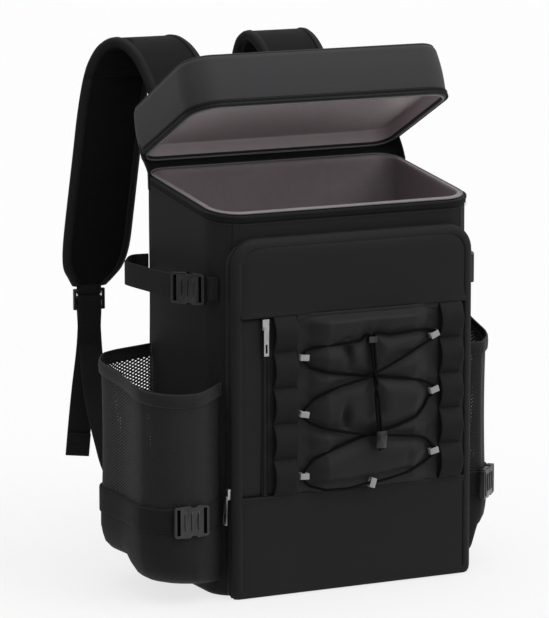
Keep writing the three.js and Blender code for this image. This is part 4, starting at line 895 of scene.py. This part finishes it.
route = np.array([*route, top + [5.4, 0, 7.5], *strands[1][::-1]], float)
route = at_run(route, np.arange(0, run(route)[-1], 1.5))
for _ in range(3):
    route[1:-1] = (route[:-2] + 2 * route[1:-1] + route[2:]) / 4
piped("lacing_cord", route, cord_radius, braid, nodes=["bungee"], sides=12)

# Stretch cloth: fine knit, black with a slight sheen.
stretch_cloth = cloth("four_way_stretch_cloth", "#131315", "#1c1c1f", 0.9, 0.15, 0.6, 0.08, 0.3, mottle=20.0)

panel_x, panel_z = np.meshgrid(np.linspace(panel_left, panel_right, 110),
                               np.linspace(base_seam + 1, upper_seam - 3, 120))
flat_cord = route[route[:, 1] > -137][:, [0, 2]]
spots = np.stack([panel_x.ravel(), panel_z.ravel()], axis=1)
away = np.concatenate([np.sqrt(((part[:, None, :] - flat_cord[None, :, :]) ** 2).sum(axis=2)).min(axis=1)
                       for part in np.array_split(spots, 40)]).reshape(panel_x.shape)
from_side = np.minimum(panel_x - panel_left, panel_right - panel_x)
out = np.clip((from_side - 14) / 20, 0, 1) * smooth_step(-4, 24, panel_z - base_seam) * 9.0
pillow = 6.2 * (1 - np.exp(-(np.maximum(away - 1, 0) / 10) ** 2)) * smooth_step(4, 30, from_side)
pillow *= smooth_step(0, 18, panel_z - base_seam) * smooth_step(-2, 9, upper_seam - 3 - panel_z)
out *= 0.35 + 0.65 * smooth_step(0, 10, upper_seam - 3 - panel_z)
dimples = sum(depth * np.exp(-((panel_x - x) / 5) ** 2 - ((panel_z - z) / 13) ** 2)
              for x, z, depth in ((-14, 270, 9.0), (-17, 199, 9.5), (70, 285, 2.0), (60, 150, 1.5)))
gathers = 0.7 * np.sin(panel_z / 2.9 + np.sin(panel_x / 9)) * np.exp(-((from_side - 10) / 8) ** 2)
creases = 0.5 * np.sin(panel_x / 15 + panel_z / 21) + 0.35 * np.sin(panel_x / 8 - panel_z / 12)
panel_y = pocket_face - 1.7 - out - pillow + dimples * (pillow > 0.5)
panel_y += (gathers + creases * smooth_step(3, 12, away)) * smooth_step(0, 14, from_side) * 0.7
stretch_front = sew("stretch_front_panel", np.stack([panel_x, panel_y, panel_z], axis=-1), stretch_cloth,
                    ["stretch_panel"], wall=1.0)
hem_path = np.stack([panel_x[-1], panel_y[-1] - 0.4, panel_z[-1] - 1], axis=1)
belt("stretch_panel_hem", hem_path, forward, 7, 1.6, stretch_cloth)
for keeper, tilt in (("left_1", -5), ("left_2", -11), ("left_3", -3), ("right_1", 24), ("right_2", 18),
                     ("right_3", 13), ("bottom", -18)):
    piece = fitting(f"keeper_{keeper}", grey_acetal, 0.6)
    low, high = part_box(f"keeper_{keeper}")
    middle = (low + high) / 2
    piece.data.transform(Matrix.Translation(middle) @ Matrix.Rotation(math.radians(-tilt), 4, "Y")
                         @ Matrix.Translation(-middle))
fitting("keeper_top", acetal, 0.8)
fitting("cord_lock", acetal, 0.7)

# ---------------------------------------------------------------------------------------------
# Side pockets: a solid cloth foot, a net of knitted mesh over it and an elastic band as hem, in
# two lobes that each take a bottle. The left pocket stands open, the right one lies flatter.

lobe_radius, lobe_front, lobe_back = 43.0, -76.0, 12.0
foot_low, foot_high = 22.0, base_seam - 2
hem_front, hem_rise, hem_band = rim_front * 0.556, 21.0, 13.0


def tub_side(y, distance):
    """The tub's side seen from above: straight, and round at its two corners."""
    y = np.asarray(y, float)
    into_front = np.clip(tub_front + tub_front_radius - y, 0, tub_front_radius)
    into_back = np.clip(y - tub_back + tub_back_radius, 0, tub_back_radius)
    turned = np.arcsin(into_front / tub_front_radius) - np.arcsin(into_back / tub_back_radius)
    radius = np.where(y < 0, tub_front_radius, tub_back_radius)
    bulge = side_swell * np.sin(np.pi * np.clip((tub_back - tub_back_radius - y) / side_span, 0, 1))
    x = tub_width / 2 - radius + (radius + distance) * np.cos(turned) + bulge
    return np.stack([x, y - distance * np.sin(turned)], axis=-1)


def pocket_outline(fill, count):
    """Plan of a side pocket from its back seam round both lobes to its front seam, and the place
    on the tub that each point stands out from."""
    middle = tub_width / 2 + lobe_radius
    angles = [(lobe_back, a) for a in (65, 43, 22, 0)] + [None]
    angles += [(lobe_front, a) for a in (0, -22, -45, -68, -90, -112)]
    full = [(middle + lobe_radius * 0.94, (lobe_front + lobe_back) / 2) if a is None else
            (middle + lobe_radius * math.cos(math.radians(a[1])), a[0] + lobe_radius * math.sin(math.radians(a[1])))
            for a in angles]
    back, front = tub_back - 30, tub_front + 13
    seat = 0.9 + min(1, 1.3 * (1 - fill)) * 1.8
    full = np.array([tub_side(back, seat), *full, tub_side(front, seat)])
    base = tub_side(back + (front - back) * np.linspace(0, 1, len(full)), seat)
    share = np.full((len(full), 1), fill)
    share[[0, -1]] = 1
    return flowing(base + (full - base) * share, count), flowing(base, count)


def hem_level(y):
    """The hem rises from the front lobe to the back one."""
    share = np.clip((y - lobe_front + lobe_radius) / (lobe_back - lobe_front + 2 * lobe_radius), 0, 1)
    return hem_front + hem_rise * share


def pocket_rows(side, fill, levels, out, swell=0.0, count=150):
    """Grid of a side pocket: one row for each level, moved out from the tub by its share of the
    plan and off the cloth's middle by the swell."""
    plan, base = pocket_outline(fill, count)
    along = unit(np.gradient(plan, axis=0))
    normal = np.stack([-along[:, 1], along[:, 0]], axis=1)
    rows = []
    for level, share, puff in zip(levels, out, np.broadcast_to(swell, len(levels))):
        flat = base + (plan - base) * share + normal * puff
        height = level(flat[:, 1]) if callable(level) else np.full(count, float(level))
        rows.append(np.stack([side * flat[:, 0], flat[:, 1], height], axis=1))
    return np.array(rows)


def net_grid(rows, cells, columns):
    """Finer grid over a coarse one: each new point is the blend of its four coarse neighbours."""
    v = np.linspace(0, len(rows) - 1, cells)
    u = np.linspace(0, rows.shape[1] - 1, columns)
    low = np.minimum(v.astype(int), len(rows) - 2)[:, None]
    left = np.minimum(u.astype(int), rows.shape[1] - 2)[None, :]
    dv, du = (v[:, None] - low)[..., None], (u[None, :] - left)[..., None]
    return (rows[low, left] * (1 - dv) * (1 - du) + rows[low + 1, left] * dv * (1 - du)
            + rows[low, left + 1] * (1 - dv) * du + rows[low + 1, left + 1] * dv * du)


def knitted_net(name, rows, cells, columns, hole, finish, node):
    """Net of diamond cells over the rows: the corners are the dark fields of a chessboard, and
    round each light field four quads run in to the hole, a share of the cell."""
    points = net_grid(np.array(rows), cells, columns)
    i, j = np.meshgrid(np.arange(1, cells - 1), np.arange(1, columns - 1), indexing="ij")
    keep = (i + j) % 2 == 0
    i, j = i[keep], j[keep]
    corner_ids = np.stack([i * columns + j - 1, (i + 1) * columns + j, i * columns + j + 1, (i - 1) * columns + j],
                          axis=1)
    flat = points.reshape(-1, 3)
    centre = flat[corner_ids].mean(axis=1, keepdims=True)
    holes = centre + (flat[corner_ids] - centre) * hole
    used = np.unique(corner_ids)
    renumber = np.zeros(cells * columns, int)
    renumber[used] = np.arange(len(used))
    outer = renumber[corner_ids]
    inner = len(used) + np.arange(len(i) * 4).reshape(-1, 4)
    quads = [np.stack([outer[:, k], outer[:, (k + 1) % 4], inner[:, (k + 1) % 4], inner[:, k]], axis=1)
             for k in range(4)]
    mesh = bpy.data.meshes.new(name)
    mesh.from_pydata((np.concatenate([flat[used], holes.reshape(-1, 3)]) * 0.001).tolist(), [],
                     np.concatenate(quads).tolist())
    mesh.materials.append(finish)
    piece = mounted(name, mesh, [node])
    yarn = piece.modifiers.new("yarn", "SOLIDIFY")
    yarn.thickness = 0.0009
    yarn.offset = 0
    return piece


def knit(name, colour, light):
    """Polyester yarn of the net: matt, with a slow mottle."""
    material, tree, shader, place = blank(name)
    patches = add_node(tree, "TexNoise", {"Scale": 90.0, "Detail": 4.0}, {"Vector": place})
    shade = add_node(tree, "Mix", {"A": linear(colour), "B": linear(light)}, {"Factor": patches.outputs["Fac"]},
                     data_type="RGBA")
    finished(tree, shader, shade, None, None, Roughness=0.72, Sheen_Weight=0.1)
    return material


# The right pocket is empty and slack, so its foot is drawn up and its hem pulled up at the back.
foot_drawn, hem_drawn, hem_drawn_back = 26, 20, 26
# Net yarn and hem: black polyester knit and woven elastic, both matt.
net_yarn = knit("black_knitted_net", "#101011", "#1b1b1d")
elastic = cloth("hem_elastic", "#151516", "#202022", 1.4, 0.45, 0.7, 0.1, 0.3, mottle=40.0, ribs=0.5)
for label, side, fill in (("left", -1, 1.0), ("right", 1, 0.42)):
    heights = [0, 0.0, 0.02, 0.05, 0.1, 0.2, 0.32, 0.45, 0.6, 0.8, 0.93, 1]
    shares = [0.01, 0.5, 0.66, 0.76, 0.86, 0.94, 0.975, 1, 1, 1, 1, 1]
    foot = pocket_rows(side, fill, [foot_low + (foot_high - foot_low) * h for h in heights], shares,
                       [0, 0, 0, 0, 0, 0, 0, 0, 0, 0, 0.9, 1.3])
    foot[1, :, 2] += 0.4
    raised = 15 * fill * smooth_step(-52, -22, foot[:, :, 1]) - 2 * np.exp(-((foot[:, :, 1] + 74) / 30) ** 2)
    raised = raised + (0 if side < 0 else foot_drawn * smooth_step(161, 173, foot[:, :, 0]))
    foot[:, :, 2] += raised * (1 - (foot[:, :, 2] - foot_low) / (foot_high - foot_low)) ** 1.6
    sew(f"{label}_pocket_base", foot[:, ::side], pack_cloth, [f"{label}_pocket_foot"], wall=1.8)
    share = np.linspace(0, 1, 24)
    hem = lambda y, drawn=(0 if side < 0 else 1): (
        hem_level(y) + drawn * (hem_drawn + hem_drawn_back * smooth_step(-50, 60, y)))
    levels = [lambda y, t=t: foot_high - 3 + (hem(y) - foot_high - 3) * t for t in share]
    pull = -1.3 * np.sin(np.pi * share) ** 0.8
    rows = pocket_rows(side, fill, levels, np.ones(24), pull - 0.2)
    knitted_net(f"{label}_pocket_net", rows, 76, 196 if side < 0 else 140, 0.5, net_yarn, f"{label}_pocket_mesh")
    band = [-hem_band, -hem_band + 1, -hem_band * 0.5, -1, 1]
    bulge = [0.5, 1.4, 1.7, 1.4, 0.3]
    rows = pocket_rows(side, fill, [lambda y, t=t: hem(y) + t for t in band], np.ones(5), bulge)
    sew(f"{label}_pocket_hem", rows[:, ::side], elastic, [f"{label}_pocket_hem"], wall=1.4)

# ---------------------------------------------------------------------------------------------
# Side straps: webbing stitched into the back corner and the front seam, joined by a side-release
# buckle. The upper one stands off the tub to hold a tall bottle, the lower one lies on the pocket.

strap_width = 27.0
upper_level, lower_level = rim_front * 0.811, foot_high - strap_width / 2 - 0.5
upper_route = [(0.94, 0), (0.91, 0.5), (0.81, 0.92), (0.706, 1), (0.255, 0.7), (0.1, 0.2), (0.065, 0)]
for label, side, out in (("left", -1, 36.0), ("right", 1, 6.0)):
    route = np.array([tub_side(tub_front + depth * tub_depth, 1.2 + out * share) for depth, share in upper_route])
    before, after = route[-3], route[-2]
    middle, ahead = (before + after) / 2, unit(after - before)
    low = flowing(np.concatenate([route[:-3], (middle - ahead * 23)[None], (middle - ahead * 15)[None]]), 40)
    high = flowing(np.concatenate([(middle + ahead * 15)[None], (middle + ahead * 23)[None], route[-1:]]), 16)
    for name, node, path in ((f"{label}_upper_webbing", f"{label}_upper_strap", low),
                             (f"{label}_upper_stub", f"{label}_upper_tab", high)):
        space = np.stack([side * path[:, 0], path[:, 1], np.full(len(path), upper_level)], axis=1)
        flat = unit(np.gradient(path, axis=0))
        outward = np.stack([-side * flat[:, 1], flat[:, 0], np.zeros(len(path))], axis=1)
        belt(name, space, outward, strap_width, webbing_wall, webbing, [node])
    plan, base = pocket_outline(1.0 if side < 0 else 0.42, 157)
    flat = unit(np.gradient(plan, axis=0))
    plan = plan + 2.6 * np.stack([-flat[:, 1], flat[:, 0]], axis=1)
    for name, node, part in ((f"{label}_lower_webbing", f"{label}_lower_strap", slice(0, 118)),
                             (f"{label}_lower_stub", f"{label}_lower_tab", slice(142, 157))):
        space = np.stack([side * plan[part, 0], plan[part, 1], np.full(len(plan[part]), lower_level)], axis=1)
        outward = np.stack([-side * flat[part, 1], flat[part, 0], np.zeros(len(space))], axis=1)
        belt(name, space, outward, strap_width, webbing_wall, webbing, [node])
    for level in ("upper", "lower"):
        buckle = fitting(f"{label}_{level}_buckle", acetal, 1.2, 3)
        corners = points_of(buckle.data) * 1000
        centre = (corners.min(axis=0) + corners.max(axis=0)) / 2
        lengthways = np.append(np.linalg.svd((corners - centre)[:, :2], full_matrices=False)[2][0], 0)
        outward = np.array([-lengthways[1], lengthways[0], 0])
        outward *= np.sign(outward @ [side, -1, 0])
        face = centre + outward * ((corners - centre) @ outward).max()
        blocks(f"{label}_{level}_buckle_ridges", np.array([face - lengthways * 12, face + lengthways * 12]), outward,
               8.0, (2.6, 23.0, 1.2), acetal)

# ---------------------------------------------------------------------------------------------
# Back panel: a foam pad covered in spacer mesh against the wearer's back, sewn into the tub's
# back along its border and quilted down two upright channels.


def spacer(name, colour, light, cell):
    """Spacer mesh: small open cells in rows as on a honeycomb, over a knit; each cell is painted darker in its middle
    as shade down in the open hole.
    """
    material, tree, shader, place = blank(name)
    holes = add_node(tree, "TexVoronoi", {"Scale": 1000 / cell, "Randomness": 0.25}, {"Vector": place})
    patches = add_node(tree, "TexNoise", {"Scale": 22.0, "Detail": 4.0}, {"Vector": place})
    lit = add_node(tree, "MapRange", {"From Max": 0.45}, {"Value": holes.outputs["Distance"]})
    # Painted shade: the colour runs dark in the middle of each cell and light at its rim.
    shade = add_node(tree, "Mix", {"A": linear(colour), "B": linear(light)}, {"Factor": lit.outputs["Result"]},
                     data_type="RGBA")
    faded = add_node(tree, "Mix", {"B": linear(colour)},
                     {"Factor": patches.outputs["Fac"], "A": shade.outputs["Result"]}, data_type="RGBA")
    bump = add_node(tree, "Bump", {"Strength": 0.5, "Distance": 0.0008}, {"Height": lit.outputs["Result"]})
    finished(tree, shader, faded, None, bump, Roughness=0.82, Specular_IOR_Level=0.2)
    return material


def plump(piece, held, cap, pressure=4.0, stiffness=12.0):
    """Swell a closed cover by cloth simulation with gravity off. Held is how firmly each vertex
    stays put, 1 on seams. No vertex moves further than the cap, in millimetres, and the moved
    points become the mesh."""
    mesh = piece.data
    start = points_of(mesh)
    seams = piece.vertex_groups.new(name="seams")
    for weight in np.unique(np.round(held, 2)):
        if weight > 0:
            seams.add(np.flatnonzero(np.round(held, 2) == weight).tolist(), float(weight), "REPLACE")
    cover = piece.modifiers.new("cover", "CLOTH")
    cover.settings.quality = 6
    cover.settings.mass = 0.3
    cover.settings.tension_stiffness = stiffness
    cover.settings.compression_stiffness = stiffness
    cover.settings.bending_stiffness = 0.5
    cover.settings.vertex_group_mass = "seams"
    cover.settings.pin_stiffness = 4.0
    cover.settings.use_pressure = True
    cover.settings.uniform_pressure_force = pressure
    cover.settings.effector_weights.gravity = 0
    cover.point_cache.frame_start = 1
    cover.point_cache.frame_end = 20
    for step in range(1, 21):
        bpy.context.scene.frame_set(step)
    shown = piece.evaluated_get(bpy.context.evaluated_depsgraph_get()).data
    shift = points_of(shown) - start
    far = np.linalg.norm(shift, axis=1, keepdims=True)
    shift *= np.minimum(1, cap * 0.001 / np.maximum(far, 1e-9))
    piece.modifiers.remove(cover)
    bpy.context.scene.frame_set(1)
    mesh.vertices.foreach_set("co", (start + shift).reshape(-1))
    mesh.update()


def rounded_again(piece):
    """One subdivision over a simulated cover, the same in view and render."""
    smooth = piece.modifiers.new("smooth", "SUBSURF")
    smooth.levels = smooth.render_levels = 1


panel_half, panel_low, panel_high, panel_thick = 125.0, 74.0, rim_back - 30, 8.0
channels = (-42.0, 42.0)
# Spacer mesh: two knitted black faces held apart by filaments.
spacer_mesh = spacer("black_spacer_mesh", "#030303", "#0a0a0b", 3.2)
u = np.linspace(-1, 1, 57)
v = np.linspace(0, 1, 79)
across, up = np.meshgrid(u * panel_half, panel_low + (panel_high - panel_low) * v)
rim_gap = np.minimum(panel_half - np.abs(across), np.minimum(up - panel_low, panel_high - up))
groove = np.min([np.abs(across - c) for c in channels], axis=0)
rise = (panel_thick - 2.5) * np.sqrt(np.clip(rim_gap / 10, 0, 1) * (2 - np.clip(rim_gap / 10, 0, 1)))
rise *= 1 - 0.62 * np.exp(-(groove / 5) ** 2)
outer = np.stack([across, tub_back + 0.5 + rise, up], axis=-1)
inner = np.stack([across, np.full_like(across, tub_back + 0.4), up], axis=-1)
rings = np.concatenate([outer, inner[:, ::-1]], axis=1)
back_pad = sew("padded_back_panel", rings, spacer_mesh, ["back_panel"], around=True, closed=True)
points = points_of(back_pad.data) * 1000
edge = np.minimum(panel_half - np.abs(points[:, 0]), np.minimum(points[:, 2] - panel_low, panel_high - points[:, 2]))
near_groove = np.min([np.abs(points[:, 0] - c) for c in channels], axis=0)
held = np.where((edge < 6) | (near_groove < 3) | (points[:, 1] < tub_back + 0.45), 1.0, 0.0)
plump(back_pad, held, 2.4)
rounded_again(back_pad)

# ---------------------------------------------------------------------------------------------
# Shoulder straps: foam pads with cloth outside and spacer mesh inside, bound round their edges
# with tape. They rise from the back panel, arch over and hang free, the left one out to the side.

pad_start, pad_off, pad_seam, pad_twist = 80, 14.6, 548, 8.5 / 88
pad_foot, pad_crest, pad_reach, pad_half, pad_thick = rim_back - 153, rim_back + 135, 122.0, 40.5, 13.5
pad_route = np.array([
    (0, 0.332, 0, 1), (0, 0.43, 0, 1), (0.09, 0.572, 0.01, 1), (0.275, 0.774, 0.045, 1), (0.438, 0.901, 0.114, 1),
    (0.577, 0.972, 0.205, 1), (0.716, 1, 0.318, 1), (0.823, 0.979, 0.443, 1), (0.881, 0.922, 0.545, 1),
    (0.914, 0.845, 0.614, 1), (0.963, 0.703, 0.67, 1), (0.98, 0.544, 0.727, 1), (1, 0.3, 0.82, 1),
    (1, 0.16, 0.88, 0.98), (0.995, 0.08, 0.93, 0.87), (0.99, 0.035, 0.965, 0.66), (0.985, 0, 1, 0.46)])


def pad_frame(side, lean, count):
    """Middle line of a pad with its across and inward directions and its half width: a curve
    through the route, whose columns are reach, height, lean and width."""
    route = flowing(pad_route, count)
    route[:, 3] = np.minimum(route[:, 3], 1)
    middle = np.stack([pad_start + lean * route[:, 2], tub_back + pad_off + pad_reach * route[:, 0],
                       pad_foot + (pad_crest - pad_foot) * route[:, 1]], axis=1)
    middle[:, 0] -= 9 * (side > 0) * route[:, 1] ** 2
    turn = np.radians(pad_twist * route[:, 2] * lean)
    across = np.stack([np.cos(turn), np.sin(turn), np.zeros(count)], axis=1)
    inward = unit(np.cross(heading(middle), across))
    mirror = np.array([side, 1, 1])
    return middle * mirror, across * mirror, inward * mirror, route[:, 3] * pad_half


def pad_section(across_share):
    """Half thickness of the foam across a pad: full over its middle, drawn in at the binding."""
    return np.clip(1 - np.abs(across_share) ** 16, 0, 1) ** 0.5


# Binding: folded black tape. Cover: the pack cloth in a softer, blacker weight.
binding = cloth("edge_binding_tape", "#070708", "#0c0c0d", 0.9, 0.35, 0.6, 0.0, 0.3, mottle=30.0, ribs=0.6)
strap_cloth = cloth("strap_cover_cloth", "#111113", "#18181a", 1.1, 0.3, 0.75, 0.03, 0.2, mottle=12.0)
for label, side, lean in (("left", -1, 88.0), ("right", 1, -32.0)):
    count = 140
    middle, across, inward, half = pad_frame(side, lean, count)
    u = np.sin(np.linspace(-1, 1, 23) * np.pi / 2)
    crossing = np.argmin(np.abs(middle[:, 2] - pad_seam) + 1000 * (np.arange(count) < 60))
    seam_dip = 1 - 0.55 * np.exp(-((np.arange(count) - crossing) / 1.3) ** 2)
    from_end = np.minimum(np.arange(count), np.arange(count)[::-1])
    thick = (pad_thick / 2 - 1.2) * np.minimum(1, 0.45 + 0.55 * from_end / 6)
    front = pad_section(u[None, :]) * (thick * seam_dip)[:, None]
    face = lambda sign, order: (middle[:, None] + across[:, None] * (u[order] * half[:, None])[..., None]
                                + inward[:, None] * (sign * front[:, order])[..., None])
    rings = np.concatenate([face(-1, slice(None)), face(1, slice(-2, 0, -1))], axis=1)
    ends = [np.repeat(middle[k][None, None], rings.shape[1], axis=1) for k in (0, -1)]
    pad = sew(f"{label}_strap_pad", np.concatenate([ends[0], rings, ends[1]]), strap_cloth,
              [f"{label}_shoulder_pad"], around=True, closed=True)
    pad.data.materials.append(spacer_mesh)
    centres = np.zeros(len(pad.data.polygons) * 3)
    pad.data.polygons.foreach_get("center", centres)
    points, centres = points_of(pad.data) * 1000, centres.reshape(-1, 3) * 1000

    def nearest(spots):
        """Station of the middle line nearest to each spot, its share across and its depth."""
        station = np.argmin(((spots[:, None] - middle[None]) ** 2).sum(axis=2), axis=1)
        offset = spots - middle[station]
        beside = (offset * across[station]).sum(axis=1) / half[station]
        return station, beside, (offset * inward[station]).sum(axis=1)

    station, beside, depth = nearest(centres)
    pad.data.polygons.foreach_set("material_index", (depth > 0).astype(int))
    station, beside, depth = nearest(points)
    held = np.where((np.abs(beside) > 0.8) | (np.abs(station - crossing) < 2)
                    | (station < 2) | (station > count - 3), 1.0, 0.0)
    plump(pad, held, 1.6)
    rounded_again(pad)
    for edge, sign in (("outer", 1), ("inner", -1)):
        wrap = [(-9.5, -0.5), (-7.5, -1.0), (-3.5, -0.85), (-0.8, -0.6), (0.6, 0), (-0.8, 0.6), (-3.5, 0.85),
                (-7.5, 1.0), (-9.5, 0.5)]
        rows = []
        for inset, level in wrap:
            share = np.clip(1 + inset / half, -1, 1)
            depth = np.sign(level) * (pad_section(share) * thick * seam_dip + 0.75) if level else np.zeros(count)
            depth = depth * (0.86 if abs(level) == 0.5 else 1.0)
            rows.append(middle + across * (sign * (half + inset))[:, None] + inward * depth[:, None])
        tape = np.array(rows)[:, 2:-1]
        sew(f"{label}_{edge}_binding", tape[:: sign * side], binding, wall=0.4)
    stitch_row = np.array([middle[crossing] + across[crossing] * u * half[crossing] * 0.8 + inward[crossing] * 3.1
                           for u in np.linspace(-1, 1, 12)])
    blocks(f"{label}_pad_stitches", stitch_row, inward[crossing], 3.2, (2.4, 0.6, 0.5), thread)

    # Webbing from the tub's foot up to the ladder lock, over its middle bar and down as the tail.
    last = (pad_start + lean, tub_back + pad_off + pad_reach * pad_route[-1, 0])
    turn = math.radians(pad_twist * lean)
    back = np.array([-math.sin(turn), math.cos(turn), 0.0])
    lock_top = pad_foot - 2.4
    bar_top, lock_end = lock_top - 10.5, lock_top - 27
    local = lambda behind, z: np.array([last[0] + back[0] * behind, last[1] + back[1] * behind, z])
    foot = np.array([panel_half + 3, tub_back + 1.2, 46.0])
    start = local(3.2, lock_end)
    rise = np.array([(0.2, 0, 0.045), (0.6, 0.05, 0.08), (0.87, 0.14, 0.13), (1, 0.34, 0.243), (0.8, 0.525, 0.378),
                     (0.46, 0.76, 0.58), (0.14, 0.927, 0.806)])
    climb = foot + (start - foot) * rise[:, [1, 1, 2]]
    climb[:, 0] += 34 * rise[:, 0]
    low = flowing(np.concatenate([[foot], climb, [start]]), 90)
    facing_low = np.array([0, 1.0, 0]) + (back - np.array([0, 1.0, 0])) * np.linspace(0, 1, 90)[:, None]
    arch = np.linspace(0, np.pi, 11)
    over = np.array([local(3.2 * math.cos(a), bar_top + 0.3 + 1.7 * math.sin(a)) for a in arch])
    facing_over = np.array([back * math.cos(a) + np.array([0, 0, 1.0]) * math.sin(a) for a in arch])
    tail_end = local(-3.2, 102.0) + np.array([20, -13 / 3, 0])
    tail_turn = local(-3.2, 140) + (15.5, -3.0, 0)
    lower_tail = flowing(np.array([local(-3.2, lock_end), local(-3.2, 230) + (3.5, -1.8, 0),
                                   local(-3.2, 180) + (10, -1.2, 0), tail_turn, tail_end]), 40)
    path = np.concatenate([low, [local(3.2, bar_top - 4)], over, [local(-3.2, bar_top - 4)], lower_tail])
    facing = np.concatenate([facing_low, [back], facing_over, [-back], np.repeat(-back[None], 40, axis=0)])
    mirror = np.array([side, 1, 1])
    belt(f"{label}_adjusting_webbing", path * mirror, facing * mirror, webbing_width, webbing_wall, webbing,
         [f"{label}_strap_webbing"])
    hem = np.array([tail_end + (tail_turn - tail_end) * t for t in np.linspace(0, 0.7, 8)])
    belt(f"{label}_tail_hem", (hem - back * 1.9) * mirror, -back * mirror, webbing_width, 1.6, webbing)
    wrap = np.array([local(3.05 * math.cos(a), lock_top - 3.7 - 3.05 * math.sin(a))
                     for a in np.linspace(0, np.pi, 13)])
    wrap = np.concatenate([[local(2.4, pad_foot + 4)], [local(3.05, pad_foot - 1)], wrap, [local(-3.05, pad_foot - 1)],
                           [local(-2.4, pad_foot + 4)]])
    outward = unit(wrap - local(0, lock_top - 2))
    belt(f"{label}_pad_loop_webbing", wrap * mirror, outward * mirror, webbing_width, 1.4, webbing,
         [f"{label}_pad_loop"])
    fitting(f"{label}_ladder_lock", acetal, 0.9, 3)
